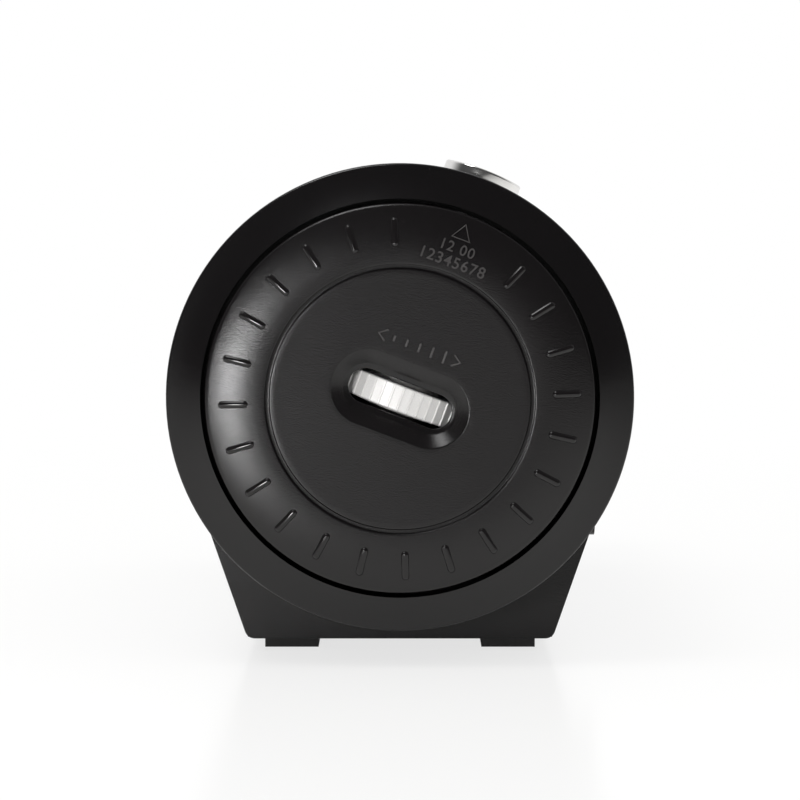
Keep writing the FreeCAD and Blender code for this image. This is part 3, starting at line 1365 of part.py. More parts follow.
# the bright lens bezel that stands out of the drum, and its window
bezel_top = S.drum_radius + S.bezel_proud
flange_high = root(DRUM_INNER * DRUM_INNER - S.bezel_flange * S.bezel_flange) - S.running_fit
window_low = bezel_top - S.window_depth - S.window_thickness
bezel_ring = turned("bezel_ring", "z", [
    (S.bezel_bore, flange_high - S.bezel_flange_thickness),
    (S.bezel_flange, flange_high - S.bezel_flange_thickness),
    (S.bezel_flange, flange_high), (S.bezel_radius, flange_high), (S.bezel_radius, bezel_top),
    (S.bezel_opening, bezel_top), (S.bezel_opening, window_low + S.window_thickness),
    (S.bezel_bore, window_low + S.window_thickness),
])
move(bezel_ring, S.wheel_x)
bezel_reach = S.bezel_flange + S.overcut
bezel_crown = rod("bezel_crown", "x", bezel_top, S.wheel_x - bezel_reach, S.wheel_x + bezel_reach)
projector_part(common("lens_bezel", bezel_ring, bezel_crown), "lens_bezel")
window = rod("lens_window_disc", "z", S.bezel_bore - S.running_fit, window_low,
             window_low + S.window_thickness, (S.wheel_x, 0))
projector_part(group("lens_window", window), "lens_window")

doc.recompute()
failed = [item.Name for item in doc.Objects if {"Invalid", "Error"} & set(item.State)]
if failed:
    raise RuntimeError(f"objects that did not rebuild: {failed}")
for node in NODES:
    if node.Shape.isNull() or not node.Shape.isValid() or not node.Shape.Solids:
        raise RuntimeError(f"{node.Label} has no valid solid")

os.makedirs(OUT_FOLDER, exist_ok=True)
for node in NODES:
    node.Shape.exportStep(os.path.join(OUT_FOLDER, f"{node.Label}.step"))
    extent = node.Shape.BoundBox
    print(f"{node.Label}: {len(node.Shape.Solids)} solids, {node.Shape.Volume:.1f} mm3, "
          f"{extent.XLength:.1f} x {extent.YLength:.1f} x {extent.ZLength:.1f}")
print(f"{len(NODES)} sub-parts written")
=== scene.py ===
"""Looks of the projection alarm clock: finishes, fine forms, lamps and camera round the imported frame."""
import json
import logging
import math
from dataclasses import dataclass
from enum import Enum
from typing import Callable, Iterable

import bmesh
import bpy
from mathutils import Matrix, Vector


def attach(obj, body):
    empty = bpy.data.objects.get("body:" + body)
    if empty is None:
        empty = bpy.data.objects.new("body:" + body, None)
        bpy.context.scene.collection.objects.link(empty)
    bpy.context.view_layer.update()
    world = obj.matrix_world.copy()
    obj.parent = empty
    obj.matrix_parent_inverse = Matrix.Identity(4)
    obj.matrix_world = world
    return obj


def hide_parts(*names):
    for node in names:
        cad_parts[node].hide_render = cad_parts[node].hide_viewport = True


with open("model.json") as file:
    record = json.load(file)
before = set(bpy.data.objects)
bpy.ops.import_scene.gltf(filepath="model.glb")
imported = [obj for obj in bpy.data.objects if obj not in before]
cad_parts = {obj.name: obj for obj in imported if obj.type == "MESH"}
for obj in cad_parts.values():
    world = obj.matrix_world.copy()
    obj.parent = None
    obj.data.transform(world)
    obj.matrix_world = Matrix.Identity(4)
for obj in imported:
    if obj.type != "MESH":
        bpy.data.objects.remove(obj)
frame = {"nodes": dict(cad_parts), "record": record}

LOG = logging.getLogger("projection_clock")
MM = 0.001
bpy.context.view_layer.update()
WELD_DISTANCE = 1e-7
SHARP_ANGLE = 40.0
NOISE_MIDDLE = 0.5
FINE_TO_GRAIN = 1.7
FINE_DETAIL = 3.0
BROAD_SCALE = 45.0
BROAD_DETAIL = 4.0
WHITE = (1.0, 1.0, 1.0, 1.0)
Point = tuple[float, float, float]
Colour = tuple[float, float, float]
Node = bpy.types.Object


class Surface(Enum):
    """How a finish's surface was made, which sets the shape of its fine relief."""

    GRAINED = "grained"
    SMOOTH = "smooth"
    BRUSHED = "brushed"
    MOTTLED = "mottled"


BUMP_STRENGTH: dict[Surface, float] = {
    Surface.GRAINED: 1.0,
    Surface.SMOOTH: 0.35,
    Surface.BRUSHED: 0.35,
    Surface.MOTTLED: 0.35,
}


def new_socket_group(name: str, inputs: dict[str, float], outputs: Iterable[str]) -> bpy.types.NodeTree:
    """Make an empty shader node group.

    Args:
        name: The group's name.
        inputs: Number inputs and their defaults.
        outputs: Output names; one called Color is a colour and the rest are numbers.

    Returns:
        The group, with its input and output nodes in place.
    """
    group = bpy.data.node_groups.new(name, "ShaderNodeTree")
    group.interface.new_socket("Color", in_out="INPUT", socket_type="NodeSocketColor")
    for label, value in inputs.items():
        socket = group.interface.new_socket(label, in_out="INPUT", socket_type="NodeSocketFloat")
        socket.default_value = value
    for label in outputs:
        kind = "NodeSocketColor" if label == "Color" else "NodeSocketFloat"
        group.interface.new_socket(label, in_out="OUTPUT", socket_type=kind)
    group.nodes.new("NodeGroupInput").name = "in"
    group.nodes.new("NodeGroupOutput").name = "out"
    return group


class NodeDesk:
    """Adds and joins nodes in one tree."""

    def __init__(self, tree: bpy.types.NodeTree) -> None:
        """Keep the tree that the nodes go into."""
        self.tree = tree

    def add(self, kind: str, **values: object) -> bpy.types.Node:
        """Add a node and set its properties.

        Args:
            kind: The node's type name.
            values: Properties of the node.

        Returns:
            The new node.
        """
        node = self.tree.nodes.new(kind)
        for label, value in values.items():
            setattr(node, label, value)
        return node

    def join(self, output: bpy.types.NodeSocket, target: bpy.types.NodeSocket) -> None:
        """Link two sockets."""
        self.tree.links.new(output, target)

    def maths(self, operation: str, first: object, second: object) -> bpy.types.NodeSocket:
        """Combine two numbers or sockets.

        Args:
            operation: The Math node's operation.
            first: A number or an output socket.
            second: A number or an output socket.

        Returns:
            The result's socket.
        """
        node = self.add("ShaderNodeMath", operation=operation)
        for socket, value in zip(node.inputs, (first, second)):
            if isinstance(value, bpy.types.NodeSocket):
                self.join(value, socket)
            else:
                socket.default_value = value
        return node.outputs[0]

    def noise(self, place: bpy.types.NodeSocket, scale: object, detail: float) -> bpy.types.NodeSocket:
        """Add a noise texture.

        Args:
            place: The coordinates that it reads.
            scale: A number or an output socket.
            detail: How many finer layers it has.

        Returns:
            The noise's socket.
        """
        node = self.add("ShaderNodeTexNoise")
        self.join(place, node.inputs["Vector"])
        if isinstance(scale, bpy.types.NodeSocket):
            self.join(scale, node.inputs["Scale"])
        else:
            node.inputs["Scale"].default_value = scale
        node.inputs["Detail"].default_value = detail
        return node.outputs[0]


def mould_group() -> bpy.types.NodeTree:
    """Build the group that gives a moulding its grain, uneven gloss and faint tone changes.

    Returns:
        A group with the outputs Color, Roughness and Height.
    """
    inputs = {"Grain Scale": 1500.0, "Pebble": 0.5, "Tone": 0.1, "Roughness": 0.4, "Gloss Spread": 0.1}
    group = new_socket_group("moulded_surface", inputs, ("Color", "Roughness", "Height"))
    desk = NodeDesk(group)
    given = group.nodes["in"].outputs
    result = group.nodes["out"].inputs
    place = desk.add("ShaderNodeTexCoord").outputs["Object"]
    pebble = desk.add("ShaderNodeTexVoronoi", feature="SMOOTH_F1")
    desk.join(place, pebble.inputs["Vector"])
    desk.join(given["Grain Scale"], pebble.inputs["Scale"])
    fine = desk.noise(place, desk.maths("MULTIPLY", given["Grain Scale"], FINE_TO_GRAIN), FINE_DETAIL)
    rounded = desk.maths("MULTIPLY", pebble.outputs["Distance"], given["Pebble"])
    height = desk.maths("SUBTRACT", fine, rounded)
    desk.join(height, result["Height"])
    broad = desk.noise(place, BROAD_SCALE, BROAD_DETAIL)
    swing = desk.maths("MULTIPLY", desk.maths("SUBTRACT", broad, NOISE_MIDDLE), given["Tone"])
    speckle = desk.maths("MULTIPLY", desk.maths("SUBTRACT", fine, NOISE_MIDDLE), given["Tone"])
    shade = desk.maths("ADD", 1.0, desk.maths("ADD", swing, speckle))
    tint = desk.add("ShaderNodeVectorMath", operation="SCALE")
    desk.join(given["Color"], tint.inputs[0])
    desk.join(shade, tint.inputs["Scale"])
    desk.join(tint.outputs[0], result["Color"])
    spread = desk.maths("MULTIPLY", desk.maths("SUBTRACT", broad, NOISE_MIDDLE), given["Gloss Spread"])
    desk.join(desk.maths("ADD", given["Roughness"], spread), result["Roughness"])
    return group


@dataclass(frozen=True)
class Finish:
    """One finish of the clock, built as a material round the shared moulding group."""

    name: str
    colour: Colour
    roughness: float
    surface: Surface = Surface.SMOOTH
    grain_scale: float = 1500.0
    grain_depth: float = 0.00002
    pebble: float = 0.4
    tone: float = 0.12
    gloss_spread: float = 0.1
    metallic: float = 0.0
    transmission: float = 0.0
    coat: float = 0.0
    glow: float = 0.0
    ior: float = 1.46

    def build(self, group: bpy.types.NodeTree) -> bpy.types.Material:
        """Make the material.

        Args:
            group: The moulding group.

        Returns:
            The material.
        """
        material = bpy.data.materials.new(self.name)
        material.use_nodes = True
        tree = material.node_tree
        desk = NodeDesk(tree)
        shader = tree.nodes["Principled BSDF"]
        shader.inputs["Metallic"].default_value = self.metallic
        shader.inputs["Transmission Weight"].default_value = self.transmission
        shader.inputs["Coat Weight"].default_value = self.coat
        shader.inputs["IOR"].default_value = self.ior
        grain = desk.add("ShaderNodeGroup", node_tree=group)
        settings = {"Color": (*self.colour, 1.0), "Grain Scale": self.grain_scale, "Pebble": self.pebble,
                    "Tone": self.tone, "Roughness": self.roughness, "Gloss Spread": self.gloss_spread}
        for label, value in settings.items():
            grain.inputs[label].default_value = value
        desk.join(grain.outputs["Color"], shader.inputs["Base Color"])
        desk.join(grain.outputs["Roughness"], shader.inputs["Roughness"])
        bump = desk.add("ShaderNodeBump")
        bump.inputs["Strength"].default_value = BUMP_STRENGTH[self.surface]
        bump.inputs["Distance"].default_value = self.grain_depth
        desk.join(grain.outputs["Height"], bump.inputs["Height"])
        desk.join(bump.outputs["Normal"], shader.inputs["Normal"])
        if self.glow:
            desk.join(grain.outputs["Color"], shader.inputs["Emission Color"])
            shader.inputs["Emission Strength"].default_value = self.glow
        return material


FINISHES: dict[str, Finish] = {finish.name: finish for finish in (
    Finish("grained_black", (0.0042, 0.0034, 0.0037), 0.24, Surface.GRAINED, grain_scale=3600.0, pebble=0.7,
           tone=0.4, gloss_spread=0.06),
    Finish("gloss_black", (0.0036, 0.0030, 0.0033), 0.20, grain_depth=0.000004, tone=0.1),
    Finish("dark_plastic", (0.016, 0.015, 0.0155), 0.45, Surface.GRAINED, grain_scale=2600.0,
           grain_depth=0.00003),
    Finish("key_grey", (0.045, 0.045, 0.048), 0.38, Surface.GRAINED, grain_scale=2400.0, grain_depth=0.00003),
    Finish("tick_black", (0.0055, 0.0046, 0.0049), 0.15, grain_depth=0.000004, tone=0.1),
    # The marks are black plastic like the cover; this lighter grey is a painted highlight standing in for the
    # sheen on their raised edges.
    Finish("mark_painted_highlight_grey", (0.045, 0.042, 0.042), 0.24, grain_depth=0.000005),
    Finish("silver", (0.80, 0.79, 0.78), 0.14, Surface.BRUSHED, grain_scale=900.0, grain_depth=0.000004,
           pebble=0.1, tone=0.06, gloss_spread=0.06, metallic=1.0),
    Finish("wheel_silver", (0.74, 0.73, 0.72), 0.50, Surface.BRUSHED, grain_scale=2600.0, grain_depth=0.00003,
           pebble=0.2, tone=0.15, metallic=0.45),
    Finish("smoked_window", (0.11, 0.070, 0.070), 0.07, grain_depth=0.000002, tone=0.05, transmission=0.75),
    Finish("clear_lens", (0.86, 0.90, 0.93), 0.03, grain_depth=0.000001, tone=0.02, gloss_spread=0.02,
           transmission=1.0),
    Finish("lit_segment", (1.0, 0.05, 0.02), 0.4, tone=0.1, glow=5.0),
    Finish("unlit_segment", (0.05, 0.012, 0.012), 0.4, tone=0.1),
    Finish("circuit_board", (0.012, 0.085, 0.032), 0.35, Surface.MOTTLED, grain_scale=300.0, pebble=0.3,
           tone=0.4),
    Finish("component_black", (0.018, 0.018, 0.019), 0.4, tone=0.2),
    Finish("steel", (0.52, 0.52, 0.53), 0.32, Surface.BRUSHED, grain_scale=1200.0, grain_depth=0.00001,
           pebble=0.2, tone=0.1, metallic=1.0),
    Finish("cone_paper", (0.022, 0.021, 0.020), 0.8, Surface.GRAINED, grain_scale=1100.0,
           grain_depth=0.00006),
    Finish("magnet", (0.06, 0.06, 0.062), 0.5, Surface.MOTTLED, grain_scale=500.0, grain_depth=0.00003,
           tone=0.3, metallic=0.6),
    Finish("cell_jacket", (0.07, 0.10, 0.18), 0.3, tone=0.1, coat=0.3),
    Finish("rubber", (0.0085, 0.0080, 0.0075), 0.62, Surface.GRAINED, grain_scale=1300.0,
           grain_depth=0.00005),
)}


class Palette:
    """Builds each finish once and hands it out by name."""

    def __init__(self) -> None:
        """Build the shared group and every material."""
        group = mould_group()
        self.materials = {name: finish.build(group) for name, finish in FINISHES.items()}

    def dress(self, piece: Node, name: str) -> None:
        """Give a piece one finish."""
        piece.data.materials.clear()
        piece.data.materials.append(self.materials[name])

    def dress_node(self, node: Node, name: str) -> None:
        """Give a CAD node's material slots one finish, leaving its mesh alone."""
        for slot in node.material_slots:
            slot.material = self.materials[name]


def loop_mesh(name: str, loops: list[list[Point]]) -> Node:
    """Make a surface through a stack of closed loops with equal numbers of points.

    Args:
        name: The piece's name.
        loops: Loops of points in metres.

    Returns:
        The new object, smooth shaded.
    """
    count = len(loops[0])
    points = [point for loop in loops for point in loop]
    faces = []
    for level in range(len(loops) - 1):
        low = level * count
        for index in range(count):
            after = (index + 1) % count
            faces.append((low + index, low + after, low + count + after, low + count + index))
    mesh = bpy.data.meshes.new(name)
    mesh.from_pydata(points, [], faces)
    piece = bpy.data.objects.new(name, mesh)
    bpy.context.scene.collection.objects.link(piece)
    finish_mesh(piece)
    return piece


def finish_mesh(piece: Node, angle: float = SHARP_ANGLE) -> None:
    """Make the normals point outward, shade smooth and keep edges over an angle sharp.

    Args:
        piece: The object whose mesh is finished.
        angle: The angle in degrees.
    """
    work = bmesh.new()
    work.from_mesh(piece.data)
    bmesh.ops.remove_doubles(work, verts=work.verts, dist=WELD_DISTANCE)
    bmesh.ops.recalc_face_normals(work, faces=work.faces)
    for face in work.faces:
        face.smooth = True
    for edge in work.edges:
        if len(edge.link_faces) == 2 and edge.calc_face_angle() > math.radians(angle):
            edge.smooth = False
    work.to_mesh(piece.data)
    work.free()


def rounded_profile(points: list[tuple[float, float, float]], steps: int) -> list[tuple[float, float]]:
    """Round the corners of an open outline.

    Args:
        points: Corners as (x, radius, rounding).
        steps: Points along each rounded corner.

    Returns:
        The outline's points as (x, radius).
    """
    outline: list[tuple[float, float]] = []
    for index, (along, out, rounding) in enumerate(points):
        corner = Vector((along, out))
        if rounding <= 0 or index in (0, len(points) - 1):
            outline.append((along, out))
            continue
        before = (Vector(points[index - 1][:2]) - corner).normalized() * rounding
        after = (Vector(points[index + 1][:2]) - corner).normalized() * rounding
        for step in range(steps + 1):
            part = step / steps
            bend = corner + before * (1 - part) ** 2 + after * part ** 2
            outline.append((bend.x, bend.y))
    return outline


def stadium_loop(length: float, width: float, count: int) -> list[tuple[float, float]]:
    """Return points round a bar with round ends, the first at its right end, at even angles of arc.

    Args:
        length: The whole length across.
        width: The whole width.
        count: How many points, a multiple of four.

    Returns:
        The points as (across, up).
    """
    radius = width / 2
    straight = length / 2 - radius
    quarter = math.pi * radius / 2
    whole = 4 * quarter + 4 * straight
    points = []
    for index in range(count):
        along = whole * index / count
        half_way = whole / 2
        mirrored = along > half_way
        run = whole - along if mirrored else along
        if run < quarter:
            across = straight + radius * math.cos(run / radius)
            up = radius * math.sin(run / radius)
        elif run < quarter + 2 * straight:
            across = straight - (run - quarter)
            up = radius
        else:
            turn = math.pi / 2 + (run - quarter - 2 * straight) / radius
            across = radius * math.cos(turn) - straight
            up = radius * math.sin(turn)
        points.append((across, -up if mirrored else up))
    return points


@dataclass
class ProjectorEnd:
    """The turning end of the clock: the grained cover with its ring, groove, disc, dish and ticks."""

    palette: Palette
    axis_height: float = 50.8
    tilt: float = 20.7
    segments: int = 256
    cover_radius: float = 36.6
    skirt: float = 4.4
    edge_round: float = 0.75
    edge_steps: int = 8
    ring_edge_front: float = 92.9
    ring_front: float = 94.5
    ring_inner: float = 25.25
    ring_bulge: float = 34.0
    ring_steps: int = 24
    ring_lip: float = 0.22
    groove_width: float = 0.8
    groove_depth: float = 0.6
    groove_round: float = 0.15
    groove_steps: int = 4
    disc_front: float = 94.1
    disc_lip: float = 0.3
    disc_margin: float = 1.2
    dish_length: float = 26.5
    dish_width: float = 14.0
    dish_depth: float = 2.2
    dish_grow: float = 2.4
    dish_lip: float = 0.16
    dish_foot: float = 0.2
    dish_wall_share: float = 0.75
    dish_steps: int = 6
    slot_length: float = 20.3
    slot_width: float = 6.6
    slot_depth: float = 3.8
    slot_step: float = 0.25
    slot_lip: float = 0.06
    tick_count: int = 22
    tick_pitch: float = 15.0
    tick_start: float = 1.5
    tick_width: float = 1.6
    tick_inner: float = 28.4
    tick_outer: float = 34.0
    tick_inner_crest: float = 95.0
    tick_outer_rise: float = 0.55
    tick_segments: int = 24
    tick_rings: int = 16
    tick_sharp: float = 80.0

    def place(self) -> Matrix:
        """Return the matrix from the projector's own millimetres to the frame."""
        turn = Matrix.Rotation(math.radians(-self.tilt), 4, "X")
        return Matrix.Translation((0, 0, self.axis_height * MM)) @ turn @ Matrix.Scale(MM, 4)

    def arc_face(self, radius: float, inner: tuple[float, float], outer: tuple[float, float],
                 bulge: float) -> float:
        """Return how far along X an arc through two (radius, x) points lies at a radius.

        Args:
            radius: The distance from the drum's axis.
            inner: The arc's inner end.
            outer: The arc's outer end.
            bulge: The arc's radius.

        Returns:
            The place along X in millimetres.
        """
        chord = Vector(outer) - Vector(inner)
        middle = (Vector(outer) + Vector(inner)) / 2
        normal = Vector((-chord.y, chord.x)).normalized()
        centre = middle - normal * math.sqrt(bulge ** 2 - (chord.length / 2) ** 2)
        return centre.y + math.sqrt(max(bulge ** 2 - (radius - centre.x) ** 2, 0.0))

    def ring_x(self, radius: float) -> float:
        """Find the ring's face.

        Args:
            radius: The distance from the drum's axis.

        Returns:
            The face's place along X in millimetres.
        """
        inner = (self.ring_inner, self.ring_front)
        outer = (self.cover_radius, self.ring_edge_front)
        return self.arc_face(radius, inner, outer, self.ring_bulge)

    def settle(self, piece: Node, finish: str, slot: str, body: str = "projector") -> Node:
        """Dress a piece and let it ride on a body.

        Args:
            piece: The piece.
            finish: The finish that it gets.
            slot: The record's material slot; not used.
            body: The body that carries it.

        Returns:
            The same piece.
        """
        self.palette.dress(piece, finish)
        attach(piece, body)
        LOG.info("made %s with %d faces", piece.name, len(piece.data.polygons))
        return piece

    def cover(self) -> Node:
        """Build the grained cover: the domed ring, the groove, the disc and the dish down to its slot.

        Returns:
            The cover.
        """
        radii = [self.cover_radius - (self.cover_radius - self.ring_inner) * step / self.ring_steps
                 for step in range(self.ring_steps + 1)]
        ring = [(self.ring_x(radius), radius) for radius in radii]
        lip = rounded_profile([
            (self.ring_edge_front - self.skirt, self.cover_radius, 0),
            (*ring[0], self.edge_round),
            (*ring[2], 0),
        ], self.edge_steps)
        groove_floor = self.disc_front - self.groove_depth
        disc_edge = self.ring_inner - self.groove_width
        inner = rounded_profile([
            (*ring[-2], 0),
            (self.ring_front, self.ring_inner, self.ring_lip),
            (groove_floor, self.ring_inner, self.groove_round),
            (groove_floor, disc_edge, self.groove_round),
            (self.disc_front, disc_edge, self.disc_lip),
            (self.disc_front, disc_edge - self.disc_margin, 0),
        ], self.groove_steps)
        matrix = self.place()
        loops = []
        for along, out in lip + ring[3:-2] + inner:
            loops.append([tuple(matrix @ Vector((along, out * math.cos(turn), out * math.sin(turn))))
                          for turn in self.turns()])
        dish_floor = self.disc_front - self.dish_depth
        dish = rounded_profile([
            (self.disc_front, 1.0, 0),
            (self.disc_front, 0.0, self.dish_lip),
            (dish_floor, -self.dish_wall_share, self.dish_foot),
            (dish_floor - self.slot_step, -1.0, self.slot_lip),
            (self.disc_front - self.slot_depth, -1.0, 0),
        ], self.dish_steps)
        for along, share in dish:
            loops.append(self.dish_loop(along, share, matrix))
        return loop_mesh("projector_cover_face", loops)

    def turns(self) -> list[float]:
        """Return the angles of the points round a turned loop."""
        return [2 * math.pi * index / self.segments for index in range(self.segments)]

    def dish_loop(self, along: float, share: float, matrix: Matrix) -> list[Point]:
        """Return one loop of the dish.

        Args:
            along: The loop's place along X.
            share: 1 just outside the dish's mouth, 0 at the mouth and -1 at the slot.
            matrix: The way into the frame.

        Returns:
            The loop's points in metres.
        """
        if share >= 0:
            grow = self.dish_grow * share
            length = self.dish_length + grow
            width = self.dish_width + grow
        else:
            length = self.dish_length + (self.dish_length - self.slot_length) * share
            width = self.dish_width + (self.dish_width - self.slot_width) * share
        return [tuple(matrix @ Vector((along, across, up)))
                for across, up in stadium_loop(length, width, self.segments)]

    def ticks(self) -> Node:
        """Build the raised half-round ticks of the ring as one piece.

        Returns:
            The ticks.
        """
        matrix = self.place()
        work = bmesh.new()
        radius = self.tick_width / 2
        crest_inner = self.tick_inner_crest
        crest_outer = self.ring_x(self.tick_outer) + self.tick_outer_rise
        run = self.tick_outer - self.tick_inner
        for index in range(self.tick_count):
            turn = Matrix.Rotation(math.radians((index + self.tick_start) * self.tick_pitch), 4, "X")
            ball = bmesh.ops.create_uvsphere(work, u_segments=self.tick_segments, v_segments=self.tick_rings,
                                             radius=radius)
            for vertex in ball["verts"]:
                end = 1 if vertex.co.z > 0 else -1
                vertex.co.z += end * (run / 2 - radius)
                part = (vertex.co.z + run / 2) / run
                vertex.co.x += crest_inner + (crest_outer - crest_inner) * part - radius
                vertex.co.z += self.tick_inner + run / 2
                vertex.co = matrix @ turn @ vertex.co
        mesh = bpy.data.meshes.new("cover_ticks")
        work.to_mesh(mesh)
        work.free()
        piece = bpy.data.objects.new("cover_ticks", mesh)
        bpy.context.scene.collection.objects.link(piece)
        finish_mesh(piece, self.tick_sharp)
        return piece

    def build(self) -> None:
        """Build and dress the cover and its ticks."""
        cover = self.settle(self.cover(), "grained_black", "grained_black")
        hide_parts("projector_cover")
        self.settle(self.ticks(), "tick_black", "grained_black")


@dataclass(frozen=True)
class DigitRow:
    """One raised row of plain digits, with its height and its middle along the lens axis."""

    name: str
    text: str
    height: float
    up: float


@dataclass
class CoverMarks:
    """The raised marks on the cover: the arrow, two rows of digits, the focus bars and their chevrons."""

    end: ProjectorEnd
    rise: float = 0.30
    root: float = 0.3
    line_width: float = 0.42
    line_steps: int = 3
    line_sharp: float = 60.0
    arrow_tip: float = 34.7
    arrow_foot: float = 31.9
    arrow_half: float = 1.75
    rows: tuple[DigitRow, ...] = (
        DigitRow("cover_digits", "12 00", 2.0, 30.0),
        DigitRow("cover_scale", "12345678", 2.15, 27.3),
    )
    digit_size: float = 1.38
    digit_weight: float = 0.03
    digit_spacing: float = 1.12
    digit_sharp: float = 30.0
    focus_row: float = 10.3
    chevron_tip: float = 8.1
    chevron_run: float = 1.5
    chevron_rise: float = 1.1
    bar_count: int = 5
    bar_pitch: float = 2.5
    bar_width: float = 0.5
    bar_reach: float = 0.55
    bar_growth: float = 0.16

    def raised_outline(self, name: str, corners: list[tuple[float, float]], width: float, closed: bool,
                       face: Callable[[float], float]) -> Node:
        """Build a thin raised line through corners on the cover.

        Args:
            name: The piece's name.
            corners: Points (across, up) in the projector's own millimetres.
            width: The line's width.
            closed: Whether the line returns to its start.
            face: The surface's place along X at a distance from the axis.

        Returns:
            The line as a mesh.
        """
        matrix = self.end.place()
        curve = bpy.data.curves.new(f"{name}_path", "CURVE")
        curve.dimensions = "3D"
        curve.bevel_depth = width / 2 * MM
        curve.bevel_resolution = self.line_steps
        curve.use_fill_caps = True
        spline = curve.splines.new("POLY")
        spline.points.add(len(corners) - 1)
        for point, (across, up) in zip(spline.points, corners):
            along = face(math.hypot(across, up)) - width / 2 + self.rise
            point.co = (*(matrix @ Vector((along, across, up))), 1.0)
        spline.use_cyclic_u = closed
        holder = bpy.data.objects.new(f"{name}_path", curve)
        mesh = bpy.data.meshes.new_from_object(holder)
        bpy.data.objects.remove(holder)
        piece = bpy.data.objects.new(name, mesh)
        bpy.context.scene.collection.objects.link(piece)
        finish_mesh(piece, self.line_sharp)
        return piece

    def digits(self, row: DigitRow) -> Node:
        """Build a short raised row of digits across the ring.

        Args:
            row: What it says, and where.

        Returns:
            The row as a mesh.
        """
        curve = bpy.data.curves.new(f"{row.name}_text", "FONT")
        curve.body = row.text
        curve.size = row.height * self.digit_size
        curve.extrude = self.root
        curve.offset = self.digit_weight
        curve.align_x = "CENTER"
        curve.align_y = "CENTER"
        curve.space_character = self.digit_spacing
        holder = bpy.data.objects.new(f"{row.name}_text", curve)
        mesh = bpy.data.meshes.new_from_object(holder)
        bpy.data.objects.remove(holder)
        matrix = self.end.place()
        for vertex in mesh.vertices:
            across = vertex.co.x
            above = row.up + vertex.co.y
            level = self.end.ring_x(math.hypot(across, above))
            along = level + (self.rise if vertex.co.z > 0 else -self.root)
            vertex.co = matrix @ Vector((along, across, above))
        piece = bpy.data.objects.new(row.name, mesh)
        bpy.context.scene.collection.objects.link(piece)
        finish_mesh(piece, self.digit_sharp)
        return piece

    def disc_x(self, _: float) -> float:
        """Return the flat disc's place along X, the same at any distance from the axis."""
        return self.end.disc_front

    def mark(self, piece: Node) -> None:
        """Dress a mark and let it ride on the projector."""
        # Marks get a lighter grey than the cover: a painted highlight on the black raised marks.
        self.end.settle(piece, "mark_painted_highlight_grey", "grained_black")

    def build(self) -> None:
        """Build and dress every mark."""
        half = self.arrow_half
        arrow = [(0.0, self.arrow_tip), (-half, self.arrow_foot), (half, self.arrow_foot)]
        self.mark(self.raised_outline("cover_arrow", arrow, self.line_width, True, self.end.ring_x))
        for row in self.rows:
            self.mark(self.digits(row))
        for side, label in ((-1, "left"), (1, "right")):
            tip = side * self.chevron_tip
            foot = tip - side * self.chevron_run
            chevron = [(foot, self.focus_row + self.chevron_rise), (tip, self.focus_row),
                       (foot, self.focus_row - self.chevron_rise)]
            name = f"focus_chevron_{label}"
            self.mark(self.raised_outline(name, chevron, self.line_width, False, self.disc_x))
        for index in range(self.bar_count):
            across = (index - self.bar_count // 2) * self.bar_pitch
            reach = self.bar_reach + self.bar_growth * index
            bar = [(across, self.focus_row - reach), (across, self.focus_row + reach)]
            name = f"focus_bar_{index + 1}"
            self.mark(self.raised_outline(name, bar, self.bar_width, False, self.disc_x))


@dataclass
class FocusWheel:
    """The silver thumbwheel: flat facets parted by fine bright ridges."""

    end: ProjectorEnd
    centre_x: float = 79.2
    radius: float = 14.0
    width: float = 4.8
    facets: int = 46
    ridge: float = 0.26
    valley: float = 0.20
    edge: float = 0.22
    bore: float = 6.1
    hub_radius: float = 8.0
    hub_half: float = 3.0
    slope_end: float = 1.5
    slope_start: float = 0.5
    ridge_points: int = 4
    sharp: float = 12.0

    def loop(self, level: float, shrink: float) -> list[Point]:
        """Return one ribbed loop round the wheel.

        Args:
            level: The loop's place along the lens axis.
            shrink: How far inside the ridges' radius the loop lies.

        Returns:
            The loop's points in metres.
        """
        matrix = self.end.place()
        pitch = 2 * math.pi / self.facets
        ridge = self.ridge / self.radius
        points = []
        for facet in range(self.facets):
            start = facet * pitch
            corners = ((0.0, 0.0), (ridge, 0.0), (ridge * self.slope_end, self.valley),
                       (pitch - ridge * self.slope_start, self.valley))
            for turn, drop in corners:
                out = self.radius - drop - shrink
                angle = start + turn
                place = Vector((self.centre_x + out * math.cos(angle), out * math.sin(angle), level))
                points.append(tuple(matrix @ place))
        return points

    def ring(self, out: float, level: float) -> list[Point]:
        """Make a round loop with as many points as a ribbed one.

        Args:
            out: The loop's radius.
            level: Its place along the lens axis.

        Returns:
            The loop's points in metres.
        """
        matrix = self.end.place()
        count = self.facets * self.ridge_points
        points = []
        for index in range(count):
            angle = 2 * math.pi * index / count
            place = Vector((self.centre_x + out * math.cos(angle), out * math.sin(angle), level))
            points.append(tuple(matrix @ place))
        return points

    def build(self) -> None:
        """Build the wheel and let it stand for the CAD wheel."""
        half = self.width / 2
        loops = [
            self.ring(self.bore, -self.hub_half), self.ring(self.hub_radius, -self.hub_half),
            self.ring(self.hub_radius, -half), self.loop(-half, self.edge), self.loop(self.edge - half, 0),
            self.loop(half - self.edge, 0), self.loop(half, self.edge), self.ring(self.hub_radius, half),
            self.ring(self.hub_radius, self.hub_half), self.ring(self.bore, self.hub_half),
            self.ring(self.bore, -self.hub_half),
        ]
        wheel = loop_mesh("focus_wheel_ribbed", loops)
        finish_mesh(wheel, self.sharp)
        self.end.settle(wheel, "wheel_silver", "silver", "focus_wheel")
        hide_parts("focus_wheel")


